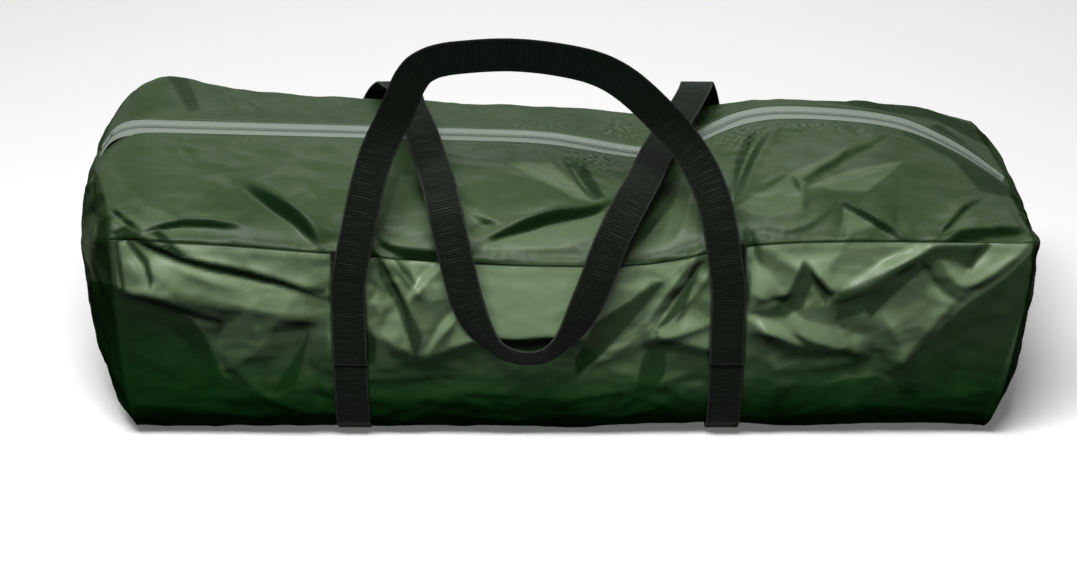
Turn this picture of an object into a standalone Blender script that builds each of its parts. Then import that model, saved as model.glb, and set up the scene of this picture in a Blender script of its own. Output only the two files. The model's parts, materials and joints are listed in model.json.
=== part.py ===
# Tipi tent packed in its zipped carry bag, as it stands on a table.
# +X runs along the bag, -Y faces the viewer of the front, +Z is up.
# The origin is on the flat underside, at the middle of the bag's flat depth.

import bpy
import bmesh
import numpy as np
from math import atan2, cos, hypot, pi, radians, sin, sqrt, tan
from mathutils import Vector

# Driving dimensions, in metres

fabric = 0.0016            # wall of the coated bag fabric with its lining
gap = 0.0003               # clearance between pieces that touch
web = 0.0016               # thickness of the webbing
web_width = 0.030          # width of the webbing

bag_height = 0.240         # mean height of the zip line
seam_height = 0.195        # mean height of the long side seams
seam_reach = 0.142         # middle of the bag to a side seam
belly_reach = 0.1495       # middle of the bag to the fullest part of a side
shoulder_reach = 0.105     # middle of the bag to a top shoulder
flat_reach = 0.116         # middle of the bag to the end of the flat underside

left_corner = -0.389       # end seam at the front side seam
left_back_corner = -0.380
left_zip_end = -0.4175     # end seam at the zip
left_base_end = -0.378     # end seam at the underside
left_bulge = -0.433        # fullest point of the end panel
left_bulge_height = 0.130
right_corner = 0.407
right_back_corner = 0.391
right_zip_end = 0.405
right_base_end = 0.378
right_bulge = 0.4275
right_bulge_height = 0.135

strap_left = -0.184        # middle of the left girth strap
strap_right = 0.145        # middle of the right girth strap
front_pivot_height = 0.139 # where the front handle leaves its sewn ends
back_pivot_height = 0.118
sewn_length = 0.055        # stitched length of a handle end
fold_room = 0.0020         # from its top edge to the fold, so that the handle can turn down

zip_straight_start = -0.380
zip_straight_end = -0.015
zip_straight_rise = 0.0068      # height over bag_height at the start
zip_straight_fall = -0.0038     # and at the end
zip_opening = 0.012        # width between the two fabric edges
zip_flat = 0.0145          # half width over which the fabric lies level on the tape
tape_thickness = 0.0006
tape_reach = 0.0135        # middle of the zip to a tape's outer edge
teeth_slot = 0.0012        # clear slot between the two rows of teeth
teeth_width = 0.0022
teeth_height = 0.0020

slider_length = 0.0145
slider_width = 0.0102
slider_plate = 0.0018
slider_flange = 0.0019
slider_under = 0.0014      # thickness of the plate under the tape
slider_web = 0.0006
slider_meeting = -0.1378   # where the two sliders stand nose to nose
slider_room = 0.0006       # between their noses
bridge_length = 0.0070
bridge_width = 0.0024
bridge_wall = 0.0012
bridge_clear = 0.0022      # height of the space under the bridge
bridge_corner = 0.0007
pull_length = 0.020
pull_width = 0.0066
pull_thickness = 0.0012
pull_bar = 0.0014          # width of the side bars of the pull's eye
pull_eye_room = 0.0012     # from the bridge to the end of the eye
pull_taper_start = 0.016
pull_taper_half = 0.0027   # half width where the taper starts
pull_tip_half = 0.00165    # and at the tip

stop_length = 0.0036
stop_height = 0.0026
stop_reach = 0.0034

sheet_left = -0.335        # folded groundsheet
sheet_right = 0.355
sheet_reach = 0.098
sheet_height = 0.055
sheet_edge = 0.012
sheet_ends = [(0.0, 0.010), (0.006, 0.003), (0.016, 0.0)]     # inset from the end, and shrink
roll_left = -0.350         # rolled canopy
roll_right = 0.365
roll_head = 0.029          # mean height of the zip line to the top of the roll
roll_middle = -0.022
roll_ends = [(0.0, 0.014), (0.005, 0.004), (0.014, 0.0)]
tie_width = 0.025
tie_left = -0.21
tie_right = 0.22
pole_radius = 0.011
pole_wall = 0.0012
pole_length = 0.640
pole_start = -0.325
pole_spigot = 0.045        # swaged end that enters the next section
pole_clear = 0.0026        # room between the roll's ties and the foremost pole section
pole_room = 0.0006
pole_taper = 0.004         # length over which the tube narrows to the spigot
pole_bore_lead = 0.002     # the bore narrows this far before the neck
pole_bore_taper = 0.006
peg_radius = 0.003
peg_length = 0.215
peg_pitch = 0.0078
peg_count = 8
peg_point = 0.014
peg_tip = 0.00075          # radius at the point
peg_stagger = 0.014        # the lower layer lies this much further along
pouch_left = -0.150        # peg bag
pouch_length = 0.245
pouch_reach = 0.030
pouch_height = 0.032
pouch_wall = 0.0012
pouch_corner = 0.010

# Lengthwise guides: height over bag_height or seam_height, or depth, at a
# place along the bag. The curve through the points is smooth.

zip_rise = [
    (-0.425, -0.042), (-0.4165, -0.021), (-0.4091, -0.006), (-0.396, 0.0035),
    (zip_straight_start, zip_straight_rise),
    (zip_straight_start + 0.015, None),
    (zip_straight_end - 0.015, None),
    (zip_straight_end, zip_straight_fall),
    (0.036, -0.0092), (0.075, -0.0125), (0.097, -0.0125), (0.126, -0.0065),
    (0.152, -0.0005), (0.180, 0.0048), (0.215, 0.0052), (0.2685, 0.0012),
    (0.3046, -0.0035), (0.3414, -0.0155), (0.3695, -0.0275), (0.390, -0.0395), (0.406, -0.0500),
]
zip_drift = [
    (-0.43, 0.0), (zip_straight_start, 0.0), (zip_straight_end - 0.015, 0.0), (zip_straight_end, 0.0),
    (0.036, -0.010), (0.075, -0.018), (0.097, -0.017), (0.126, 0.008), (0.152, 0.026),
    (0.180, 0.033), (0.3046, 0.034), (0.3414, 0.026), (0.3695, 0.014), (0.406, 0.001),
]
front_seam_rise = [
    (-0.42, 0.010), (-0.387, 0.010), (-0.30, 0.005), (-0.199, -0.004), (-0.07, -0.015),
    (0.077, -0.015), (0.15, 0.002), (0.20, 0.0065), (0.291, 0.0077), (0.407, 0.0077),
]
back_shoulder_rise = [
    (-0.41, -0.010), (-0.39, 0.003), (-0.367, 0.018), (-0.32, 0.004), (-0.25, -0.007),
    (-0.12, -0.015), (0.02, -0.0225), (0.076, -0.0265), (0.165, -0.0165), (0.272, -0.0145),
    (0.345, -0.022), (0.372, -0.035), (0.407, -0.055),
]
front_shoulder_share = 0.62     # of the rise from the side seam to the zip
crown_share = 0.62              # of the rise from the shoulder to the zip, half way in

# Side outline under the seam: reach and height of the points it passes
lower_side = [(0.1435, 0.036), (0.132, 0.0085)]
belly_low = 0.090
belly_high_share = 0.75

plain_stations = [
    -0.355, -0.32, -0.285, -0.25, -0.225, -0.15, -0.12, -0.09, -0.06, -0.03, 0.0,
    0.03, 0.055, 0.08, 0.10, 0.115, 0.19, 0.22, 0.25, 0.28, 0.31, 0.335, 0.355,
]
end_steps = [0.25, 0.5, 0.75, 1.0]
upper_rows = 5             # rows between the zip's level part and the side seam
lower_rows = 8             # rows from the side seam to the underside
flat_rows = [-0.06, -0.02, 0.02, 0.06]
dome_rings = [0.10, 0.24, 0.42, 0.64, 0.84]
dome_fullness = 2.2

# Handle routes: distance along the bag from the strap below, reach past the
# side seam, and height over bag_height, with the way the face looks.

front_left_route = [
    (0.0000, 0.0116, -0.0800, (0, -1, 0)),
    (0.0030, 0.0130, -0.0600, (0, -1, 0)),
    (0.0105, 0.0120, -0.0250, (0, -1, 0.1)),
    (0.0195, 0.0050, 0.0150, (0, -1, 0.2)),
    (0.0285, -0.0035, 0.0430, (0, -1, 0.2)),
    (0.0395, -0.0105, 0.0640, (0, -1, 0.15)),
    (0.0490, -0.0155, 0.0840, (0, -1, 0.1)),
    (0.0560, -0.0195, 0.1000, (0, -1, 0.05)),
    (0.0650, -0.0220, 0.1110, (0, -1, 0)),
    (0.0790, -0.0235, 0.1170, (0, -1, 0)),
]
front_top_route = [
    (-0.0850, -0.0250, 0.1195, (0, -1, 0)),
    (-0.0430, -0.0265, 0.1212, (0, -1, 0)),
    (-0.0010, -0.0260, 0.1168, (0, -1, 0)),
    (0.0300, -0.0245, 0.1095, (0, -1, 0.05)),
]
front_right_route = [
    (-0.0950, -0.0225, 0.0995, (0, -1, 0.1)),
    (-0.0720, -0.0190, 0.0805, (0, -1, 0.15)),
    (-0.0435, -0.0110, 0.0507, (0, -1, 0.2)),
    (-0.0272, -0.0030, 0.0278, (0, -1, 0.25)),
    (-0.0151, 0.0060, 0.0016, (0, -1, 0.2)),
    (-0.0086, 0.0115, -0.0260, (0, -1, 0.1)),
    (-0.0034, 0.0132, -0.0580, (0, -1, 0)),
    (0.0000, 0.0116, -0.0800, (0, -1, 0)),
]
back_left_route = [
    (0.0000, 0.0120, -0.0980, (0, 1, 0)),
    (0.0040, 0.0135, -0.0700, (0, 1, 0.1)),
    (0.0100, 0.0100, -0.0420, (0, 1, 0.4)),
    (0.0180, -0.0080, -0.0180, (0, 0.8, 1)),
    (0.0280, -0.0380, 0.0040, (0, 0.4, 1)),
    (0.0365, -0.0830, 0.0200, (0, 0.3, 1)),
]
back_over_left = [
    (-0.1400, 0.0150, 0.0345, (0, 0.1, 1)),
    (-0.1341, -0.0200, 0.0344, (0, -0.15, 1)),
    (-0.1228, -0.0550, 0.0254, (0, -0.25, 1)),
    (-0.1145, -0.0880, 0.0163, (0, -0.35, 1)),
    (-0.1056, -0.1220, 0.0082, (0, -0.7, 1)),
    (-0.1003, -0.1460, -0.0041, (0, -1, 0.6)),
    (-0.0957, -0.1560, -0.0230, (0, -1, 0.25)),
    (-0.0907, -0.1600, -0.0449, (0, -1, 0.05)),
    (-0.0858, -0.1620, -0.0676, (0, -1, 0)),
    (-0.0800, -0.1640, -0.0907, (-0.15, -1, -0.02)),
    (-0.0699, -0.1655, -0.1142, (-0.5, -1, -0.15)),
    (-0.0570, -0.1670, -0.1301, (-0.75, -1, -0.6)),
    (-0.0423, -0.1680, -0.1389, (-0.3, -0.85, -0.65)),
]
back_over_right = [
    (-0.0267, -0.1680, -0.1414, (0, -0.8, -0.65)),
    (-0.0111, -0.1680, -0.1374, (0.35, -0.85, -0.65)),
    (0.0010, -0.1670, -0.1262, (0.75, -1, -0.55)),
    (0.0113, -0.1655, -0.1123, (0.5, -1, -0.15)),
    (0.0215, -0.1640, -0.0907, (0.15, -1, -0.02)),
    (0.0308, -0.1620, -0.0676, (0, -1, 0)),
    (0.0383, -0.1595, -0.0449, (0, -1, 0.05)),
    (0.0476, -0.1530, -0.0244, (0, -1, 0.25)),
    (0.0585, -0.1380, -0.0079, (0, -1, 0.6)),
    (0.0716, -0.1060, 0.0009, (0, -0.7, 1)),
    (0.0838, -0.0620, 0.0060, (0, -0.25, 1)),
    (0.0986, -0.0200, 0.0120, (0, -0.1, 1)),
    (0.1135, 0.0200, 0.0170, (0, 0.05, 1)),
]
back_right_route = [
    (-0.0220, -0.0880, 0.0180, (0, 0.2, 1)),
    (-0.0165, -0.0380, 0.0040, (0, 0.4, 1)),
    (-0.0110, -0.0080, -0.0180, (0, 0.8, 1)),
    (-0.0060, 0.0100, -0.0420, (0, 1, 0.4)),
    (-0.0020, 0.0135, -0.0700, (0, 1, 0.1)),
    (0.0000, 0.0120, -0.0980, (0, 1, 0)),
]
route_step = 0.013         # spacing of a handle's cross sections
round_shares = (0.55, 0.9) # of half the thickness, where a handle's end is rounded

# Colours: linear base colour, roughness and metallic value

coated_green = (0.030, 0.075, 0.030, 0.42, 0.0)
coated_green_dark = (0.022, 0.058, 0.022, 0.45, 0.0)
tape_grey = (0.23, 0.27, 0.23, 0.60, 0.0)
teeth_grey = (0.30, 0.34, 0.29, 0.40, 0.0)
webbing_black = (0.018, 0.020, 0.018, 0.62, 0.0)
zinc_grey = (0.34, 0.35, 0.35, 0.34, 1.0)
canvas_beige = (0.42, 0.38, 0.29, 0.80, 0.0)
sheet_grey = (0.10, 0.11, 0.12, 0.70, 0.0)
steel_coat = (0.22, 0.23, 0.24, 0.38, 1.0)
peg_steel = (0.50, 0.51, 0.52, 0.35, 1.0)


# Curves

def smooth_guide(points):
    # Heights written as None lie on the straight line between their neighbours
    xs = [point[0] for point in points]
    values = [point[1] for point in points]
    known = [i for i, value in enumerate(values) if value is not None]
    for i, value in enumerate(values):
        if value is None:
            a = max(k for k in known if k < i)
            b = min(k for k in known if k > i)
            values[i] = values[a] + (values[b] - values[a]) * (xs[i] - xs[a]) / (xs[b] - xs[a])
    slopes = []
    for i in range(len(xs)):
        low = max(i - 1, 0)
        high = min(i + 1, len(xs) - 1)
        slopes.append((values[high] - values[low]) / (xs[high] - xs[low]))

    def value_at(x):
        if x <= xs[0]:
            return values[0]
        if x >= xs[-1]:
            return values[-1]
        i = max(k for k in range(len(xs) - 1) if xs[k] <= x)
        span = xs[i + 1] - xs[i]
        t = (x - xs[i]) / span
        bend = 2 * t ** 3 - 3 * t ** 2 + 1
        rise = t ** 3 - 2 * t ** 2 + t
        end = t ** 3 - t ** 2
        turn = rise * span * slopes[i] + end * span * slopes[i + 1]
        return bend * values[i] + (1 - bend) * values[i + 1] + turn

    return value_at


def smooth_line(points, steps=14):
    # A dense curve through the points, in any number of coordinates
    pts = [np.array(point, float) for point in points]
    first = 2 * pts[0] - pts[1]
    last = 2 * pts[-1] - pts[-2]
    pts = [first] + pts + [last]
    line = []
    for i in range(1, len(pts) - 2):
        p0, p1, p2, p3 = pts[i - 1:i + 3]
        knots = [0.0]
        for a, b in ((p0, p1), (p1, p2), (p2, p3)):
            knots.append(knots[-1] + sqrt(max(np.linalg.norm((b - a)[:3]), 1e-9)))
        t0, t1, t2, t3 = knots
        for step in range(steps):
            t = t1 + (t2 - t1) * step / steps
            a1 = (t1 - t) / (t1 - t0) * p0 + (t - t0) / (t1 - t0) * p1
            a2 = (t2 - t) / (t2 - t1) * p1 + (t - t1) / (t2 - t1) * p2
            a3 = (t3 - t) / (t3 - t2) * p2 + (t - t2) / (t3 - t2) * p3
            b1 = (t2 - t) / (t2 - t0) * a1 + (t - t0) / (t2 - t0) * a2
            b2 = (t3 - t) / (t3 - t1) * a2 + (t - t1) / (t3 - t1) * a3
            line.append((t2 - t) / (t2 - t1) * b1 + (t - t1) / (t2 - t1) * b2)
    line.append(pts[-2])
    return np.array(line)


def along(line, count, skip_start=0.0, skip_end=0.0):
    # Evenly spaced points of a dense line, less a length at each end
    lengths = np.concatenate([[0.0], np.cumsum(np.linalg.norm(np.diff(line[:, :3], axis=0), axis=1))])
    wanted = np.linspace(skip_start, lengths[-1] - skip_end, count)
    return np.array([[np.interp(w, lengths, line[:, k]) for k in range(line.shape[1])] for w in wanted])


zip_rise_at = smooth_guide(zip_rise)
zip_drift_at = smooth_guide(zip_drift)
front_seam_at = smooth_guide(front_seam_rise)
back_shoulder_at = smooth_guide(back_shoulder_rise)


def zip_height(x):
    return bag_height + zip_rise_at(x)


# The bag's skin. A half section runs from the zip to the underside on one
# side, in reach (distance from the middle plane) and height.

def half_section(x, side):
    level = zip_height(x)
    middle = side * zip_drift_at(x)
    if side < 0:
        seam = seam_height + front_seam_at(x)
        shoulder = seam + front_shoulder_share * (level - seam)
    else:
        seam = seam_height
        shoulder = bag_height + back_shoulder_at(x)
    edge = (middle + zip_opening / 2, level)
    flat = (middle + zip_flat, level)
    crown_reach = (flat[0] + shoulder_reach) / 2
    crown = (crown_reach, shoulder + crown_share * (level - shoulder))
    top = smooth_line([flat, crown, (shoulder_reach, shoulder), (seam_reach, seam)])
    upper = [np.array(edge), *along(top, upper_rows + 1, 0.0, gap / 2)]
    low = [(seam_reach, seam), (belly_reach, belly_high_share * seam), (belly_reach, belly_low)]
    low += lower_side + [(flat_reach, 0.0)]
    lower = [*along(smooth_line(low), lower_rows, gap / 2, 0.0)]
    rows = upper + lower
    normals = []
    for i in range(len(rows)):
        before = rows[max(i - 1, 0)]
        after = rows[min(i + 1, len(rows) - 1)]
        if i == len(upper) - 1:
            after = rows[i + 2]
        if i == len(upper):
            before = rows[i - 2]
        run = after - before
        normal = np.array([-run[1], run[0]]) / np.linalg.norm(run)
        normals.append(normal)
    normals[0] = normals[1] = np.array([0.0, 1.0])
    normals[-1] = np.array([0.0, -1.0])
    # The seam's two rows share one normal, so that their edges stay parallel
    shared = normals[len(upper) - 1] + normals[len(upper)]
    shared = shared / np.linalg.norm(shared)
    normals[len(upper) - 1] = normals[len(upper)] = shared
    return rows, normals


row_count = upper_rows + 2 + lower_rows
seam_row = upper_rows + 2


def end_place(row, right, side):
    # Where a row of the skin meets the end seam
    zip_end = right_zip_end if right else left_zip_end
    base_end = right_base_end if right else left_base_end
    if side < 0:
        corner = right_corner if right else left_corner
    else:
        corner = right_back_corner if right else left_back_corner
    if row < seam_row:
        # The two rows that lie level on the zip tape end together
        share = max(0, row - 1) / (seam_row - 2)
        return zip_end + (corner - zip_end) * share * share * (3 - 2 * share)
    share = (row - seam_row) / (lower_rows - 1)
    return corner + (base_end - corner) * share ** 1.5


groove_edge = 0.0015       # room beside a strap in its groove
groove_slope = 0.0030
groove_top = 0.050         # height at which the groove runs out
groove_fade = 0.035
groove_depth = web + gap


def station_places():
    places = list(plain_stations)
    for strap in (strap_left, strap_right):
        reach = web_width / 2 + groove_edge
        places += [strap - reach - groove_slope, strap - reach, strap + reach, strap + reach + groove_slope]
    return sorted(places)


core = station_places()
stations = [("left", step) for step in reversed(end_steps)]
stations += [("core", place) for place in core]
stations += [("right", step) for step in end_steps]


def station_x(station, row, side=-1):
    kind, value = station
    if kind == "core":
        return value
    edge = core[-1] if kind == "right" else core[0]
    return edge + (end_place(row, kind == "right", side) - edge) * value


def groove_at(x, height):
    depth = 0.0
    for strap in (strap_left, strap_right):
        beside = abs(x - strap) - web_width / 2 - groove_edge
        depth = max(depth, min(1.0, max(0.0, 1.0 - beside / groove_slope)))
    fade = min(1.0, max(0.0, (groove_top - height) / groove_fade))
    return groove_depth * depth * fade


def skin_point(station, row, side, sections):
    # Outer and inner point of the skin at a row
    x = station_x(station, row, side)
    key = (round(x, 6), side)
    if key not in sections:
        sections[key] = half_section(x, side)
    rows, normals = sections[key]
    point = rows[row]
    normal = normals[row]
    if row >= seam_row:
        point = point - normal * groove_at(x, point[1])
    outer = (x, side * point[0], point[1])
    inner = (x, side * (point[0] - normal[0] * fabric), point[1] - normal[1] * fabric)
    return outer, inner


def skin_grids():
    # The skin as five grids of outer and inner points
    sections = {}
    front_upper, back_upper, base = [], [], []
    for station in stations:
        front = [skin_point(station, row, -1, sections) for row in range(row_count)]
        back = [skin_point(station, row, 1, sections) for row in range(row_count)]
        flat = []
        x = station_x(station, row_count - 1)
        for y in flat_rows:
            lift = groove_at(x, 0.0)
            flat.append(((x, y, lift), (x, y, lift + fabric)))
        front_upper.append(front[:seam_row])
        back_upper.append(back[:seam_row])
        base.append(front[seam_row:] + flat + back[:seam_row - 1:-1])
    return front_upper, back_upper, base


# Meshes

def new_object(name, mesh_builder, material):
    mesh = bpy.data.meshes.new(name)
    mesh_builder.to_mesh(mesh)
    mesh_builder.free()
    item = bpy.data.objects.new(name, mesh)
    bpy.context.scene.collection.objects.link(item)
    look = bpy.data.materials.new(name + " finish")
    look.use_nodes = True
    shader = look.node_tree.nodes["Principled BSDF"]
    shader.inputs["Base Color"].default_value = (*material[:3], 1.0)
    shader.inputs["Roughness"].default_value = material[3]
    shader.inputs["Metallic"].default_value = material[4]
    mesh.materials.append(look)
    return item


def face_out(builder):
    bmesh.ops.recalc_face_normals(builder, faces=builder.faces)
    if builder.calc_volume(signed=True) < 0:
        bmesh.ops.reverse_faces(builder, faces=builder.faces)


def shell_mesh(grid):
    # A sheet with a wall: grid[i][j] holds the outer and the inner point
    builder = bmesh.new()
    layers = [[[builder.verts.new(cell[k]) for cell in line] for line in grid] for k in (0, 1)]
    outer, inner = layers
    long, wide = len(grid), len(grid[0])
    for layer in layers:
        for i in range(long - 1):
            for j in range(wide - 1):
                builder.faces.new([layer[i][j], layer[i + 1][j], layer[i + 1][j + 1], layer[i][j + 1]])
    for i in range(long - 1):
        for j in (0, wide - 1):
            builder.faces.new([outer[i][j], inner[i][j], inner[i + 1][j], outer[i + 1][j]])
    for j in range(wide - 1):
        for i in (0, long - 1):
            builder.faces.new([outer[i][j], outer[i][j + 1], inner[i][j + 1], inner[i][j]])
    face_out(builder)
    return builder


def add_loft(builder, loops):
    # A closed bar through loops of the same number of points
    rings = [[builder.verts.new(point) for point in loop] for loop in loops]
    count = len(rings[0])
    for first, second in zip(rings, rings[1:]):
        for j in range(count):
            builder.faces.new([first[j], first[(j + 1) % count], second[(j + 1) % count], second[j]])
    builder.faces.new(list(reversed(rings[0])))
    builder.faces.new(rings[-1])


def loft_mesh(loops):
    builder = bmesh.new()
    add_loft(builder, loops)
    face_out(builder)
    return builder


def dome_mesh(boundary, inner_boundary, bulge, height, outward):
    # An end panel: rings that close on the seam and rise to a full middle
    builder = bmesh.new()
    sheets = []
    for loop, depth in ((boundary, 0.0), (inner_boundary, fabric)):
        centre = Vector((bulge - outward * depth, 0.0, height))
        rings = [[builder.verts.new(Vector(point) + Vector((outward * gap, 0, 0))) for point in loop]]
        for share in dome_rings:
            swell = 1 - (1 - share) ** dome_fullness
            ring = []
            for point in loop:
                start = Vector(point) + Vector((outward * gap, 0, 0))
                place = start.lerp(centre, share)
                place.x = start.x + (centre.x - start.x) * swell
                ring.append(builder.verts.new(place))
            rings.append(ring)
        tip = builder.verts.new(centre)
        sheets.append((rings, tip))
    for rings, tip in sheets:
        count = len(rings[0])
        for first, second in zip(rings, rings[1:]):
            for j in range(count):
                builder.faces.new([first[j], first[(j + 1) % count], second[(j + 1) % count], second[j]])
        for j in range(count):
            builder.faces.new([rings[-1][j], rings[-1][(j + 1) % count], tip])
    outer, inner = sheets[0][0][0], sheets[1][0][0]
    for j in range(len(outer)):
        k = (j + 1) % len(outer)
        builder.faces.new([outer[j], inner[j], inner[k], outer[k]])
    face_out(builder)
    return builder


def box_loop(x, low_y, high_y, low_z, high_z):
    return [(x, low_y, low_z), (x, high_y, low_z), (x, high_y, high_z), (x, low_y, high_z)]


# Bag panels

def make_bag(front_upper, back_upper, base):
    new_object("front_upper_panel", shell_mesh(front_upper), coated_green)
    new_object("back_upper_panel", shell_mesh(back_upper), coated_green)
    new_object("base_panel", shell_mesh(base), coated_green_dark)
    ends = (
        ("left_end_panel", 0, left_bulge, left_bulge_height, -1),
        ("right_end_panel", -1, right_bulge, right_bulge_height, 1),
    )
    for name, index, bulge, height, outward in ends:
        cells = front_upper[index] + base[index] + back_upper[index][::-1]
        boundary = [cell[0] for cell in cells]
        inner_boundary = [cell[1] for cell in cells]
        new_object(name, dome_mesh(boundary, inner_boundary, bulge, height, outward), coated_green_dark)


# Zip

tape_end_share = 0.7       # of the last step that the tape fills before the end seam


def zip_stations():
    # Middle of the zip at the same places as the fabric's edge rows
    places = []
    for station in stations:
        x = station_x(station, 0)
        places.append((x, zip_drift_at(x), zip_height(x)))
    for end, beside in ((0, 1), (-1, -2)):
        a, b = np.array(places[beside]), np.array(places[end])
        places[end] = tuple(a + (b - a) * tape_end_share)
    return places


def zip_bar(places, near, far, low, high):
    return [box_loop(x, y + near, y + far, level + low, level + high) for x, y, level in places]


tape_top = -fabric - gap
tape_low = tape_top - tape_thickness
teeth_low = tape_top + gap
teeth_top = teeth_low + teeth_height


def make_zip():
    places = zip_stations()
    half_slot = teeth_slot / 2
    for name, side in (("front", -1), ("back", 1)):
        near, far = sorted((side * half_slot, side * tape_reach))
        new_object(name + "_zip_tape", loft_mesh(zip_bar(places, near, far, tape_low, tape_top)), tape_grey)
        near, far = sorted((side * half_slot, side * (half_slot + teeth_width)))
        rail = places[1:-1]
        new_object(name + "_zip_teeth", loft_mesh(zip_bar(rail, near, far, teeth_low, teeth_top)), teeth_grey)
    for name, end, beside in (("left_zip_stop", 0, 1), ("right_zip_stop", -1, -2)):
        a, b = np.array(places[beside]), np.array(places[end])
        run = b - a
        room = gap / hypot(run[0], run[2])
        share = room + stop_length / hypot(run[0], run[2])
        pair = [tuple(a + run * room), tuple(a + run * share)]
        bars = zip_bar(pair, -stop_reach, stop_reach, teeth_low, teeth_low + stop_height)
        new_object(name, loft_mesh(bars), zinc_grey)


# Sliders and pulls, built level along X at the zip's height and then turned
# to the slope of the zip's straight stretch

zip_slope = atan2(zip_straight_fall - zip_straight_rise, zip_straight_end - zip_straight_start)
slider_top = teeth_top + gap + slider_plate
pivot_lift = slider_top + bridge_clear / 2


def on_zip(builder, x):
    # Moves a shape built about x = 0 to a place on the straight stretch
    level = bag_height + zip_straight_rise + (x - zip_straight_start) * tan(zip_slope)
    for vert in builder.verts:
        dx, dy, dz = vert.co
        # The zip's sections stay upright, so the shape leans along its run
        vert.co = (x + dx * cos(zip_slope), dy, level + dx * sin(zip_slope) + dz)


def slider_mesh(x):
    half = slider_width / 2
    flange_in = half - slider_flange
    under = tape_low - gap
    outline = [
        (-half, slider_top), (-half, tape_top + gap), (-flange_in, tape_top + gap),
        (-flange_in, teeth_top + gap), (-slider_web / 2, teeth_top + gap),
        (-slider_web / 2, under), (-half, under), (-half, under - slider_under),
        (half, under - slider_under), (half, under), (slider_web / 2, under),
        (slider_web / 2, teeth_top + gap), (flange_in, teeth_top + gap),
        (flange_in, tape_top + gap), (half, tape_top + gap), (half, slider_top),
    ]
    body = loft_mesh([[(dx, y, z) for y, z in outline] for dx in (-slider_length / 2, slider_length / 2)])
    on_zip(body, x)
    return body


def bridge_mesh(x):
    # An arch on the slider's top, sunk a little into the plate
    low = slider_top - slider_plate / 2
    clear = slider_top + bridge_clear
    top = clear + bridge_wall
    outer = bridge_length / 2
    inner = outer - bridge_wall
    profile = [
        (-outer, low), (-outer, top - bridge_corner), (-outer + bridge_corner, top),
        (outer - bridge_corner, top), (outer, top - bridge_corner), (outer, low), (inner, low),
        (inner, clear), (-inner, clear), (-inner, low),
    ]
    half = bridge_width / 2
    arch = loft_mesh([[(dx, y, dz) for dx, dz in profile] for y in (-half, half)])
    on_zip(arch, x)
    return arch


def pull_mesh(x, way):
    # A flat tab with an eye round the bridge's leg, lying outwards
    eye_end = bridge_length / 2 + pull_eye_room
    bar_half = pull_thickness / 2
    half = pull_width / 2
    inner_half = half - pull_bar
    low = pivot_lift - pull_thickness / 2
    high = pivot_lift + pull_thickness / 2
    builder = bmesh.new()
    outer = [
        (-bar_half, -half), (-bar_half, half), (eye_end, half), (pull_taper_start, pull_taper_half),
        (pull_length, pull_tip_half), (pull_length, -pull_tip_half), (pull_taper_start, -pull_taper_half),
        (eye_end, -half),
    ]
    hole = [(bar_half, -inner_half), (bar_half, inner_half), (eye_end, inner_half), (eye_end, -inner_half)]
    levels = []
    for dz in (low, high):
        levels.append((
            [builder.verts.new((way * dx, dy, dz)) for dx, dy in outer],
            [builder.verts.new((way * dx, dy, dz)) for dx, dy in hole],
        ))
    for rim, eye in levels:
        builder.faces.new([rim[0], rim[1], eye[1], eye[0]])
        builder.faces.new([rim[1], rim[2], eye[2], eye[1]])
        builder.faces.new([rim[7], rim[0], eye[0], eye[3]])
        builder.faces.new([eye[2], rim[2], rim[3], rim[4], rim[5], rim[6], rim[7], eye[3]])
    for k in (0, 1):
        low_ring, high_ring = levels[0][k], levels[1][k]
        count = len(low_ring)
        for j in range(count):
            m = (j + 1) % count
            builder.faces.new([low_ring[j], low_ring[m], high_ring[m], high_ring[j]])
    face_out(builder)
    on_zip(builder, x)
    return builder


def make_sliders():
    step = (slider_length + slider_room) / 2
    for name, way in (("left", -1), ("right", 1)):
        x = slider_meeting + way * step * cos(zip_slope)
        slider = new_object(name + "_zip_slider", slider_mesh(x), zinc_grey)
        bridge = new_object(name + " bridge cutter", bridge_mesh(x), zinc_grey)
        bridge.hide_render = True
        bridge.display_type = "WIRE"
        union = slider.modifiers.new("bridge", "BOOLEAN")
        union.operation = "UNION"
        union.object = bridge
        new_object(name + "_zip_pull", pull_mesh(x, way), zinc_grey)


# Webbing

def strap_line(x, base):
    # The rows of the underside panel at a place beside or under a strap,
    # with their outward normals
    above = [i for i, station in enumerate(stations) if station[0] == "core" and station[1] > x][0]
    low, high = stations[above - 1][1], stations[above][1]
    share = (x - low) / (high - low)
    points, outward = [], []
    for first, second in zip(base[above - 1], base[above]):
        outer = np.array(first[0][1:]) * (1 - share) + np.array(second[0][1:]) * share
        inner = np.array(first[1][1:]) * (1 - share) + np.array(second[1][1:]) * share
        points.append(outer)
        outward.append((outer - inner) / np.linalg.norm(outer - inner))
    return points, outward


def strap_loops(strap, line_at):
    # Cross sections of a strap from its inner and outer lines at both edges
    left, right = strap - web_width / 2, strap + web_width / 2
    loops = []
    for (left_in, left_out), (right_in, right_out) in zip(line_at(left), line_at(right)):
        loops.append([(left, *left_in), (right, *right_in), (right, *right_out), (left, *left_out)])
    return loops


def girth_mesh(strap, base):
    def line_at(x):
        points, outward = strap_line(x, base)
        return [(point + way * gap, point + way * (gap + web)) for point, way in zip(points, outward)]

    return loft_mesh(strap_loops(strap, line_at))


sewn_offset = gap + web + gap + web / 2
least_step = 0.0012        # closest heights of two rows of a sewn end
bottom_turn = 0.020        # height over which the side counts as upright


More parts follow.
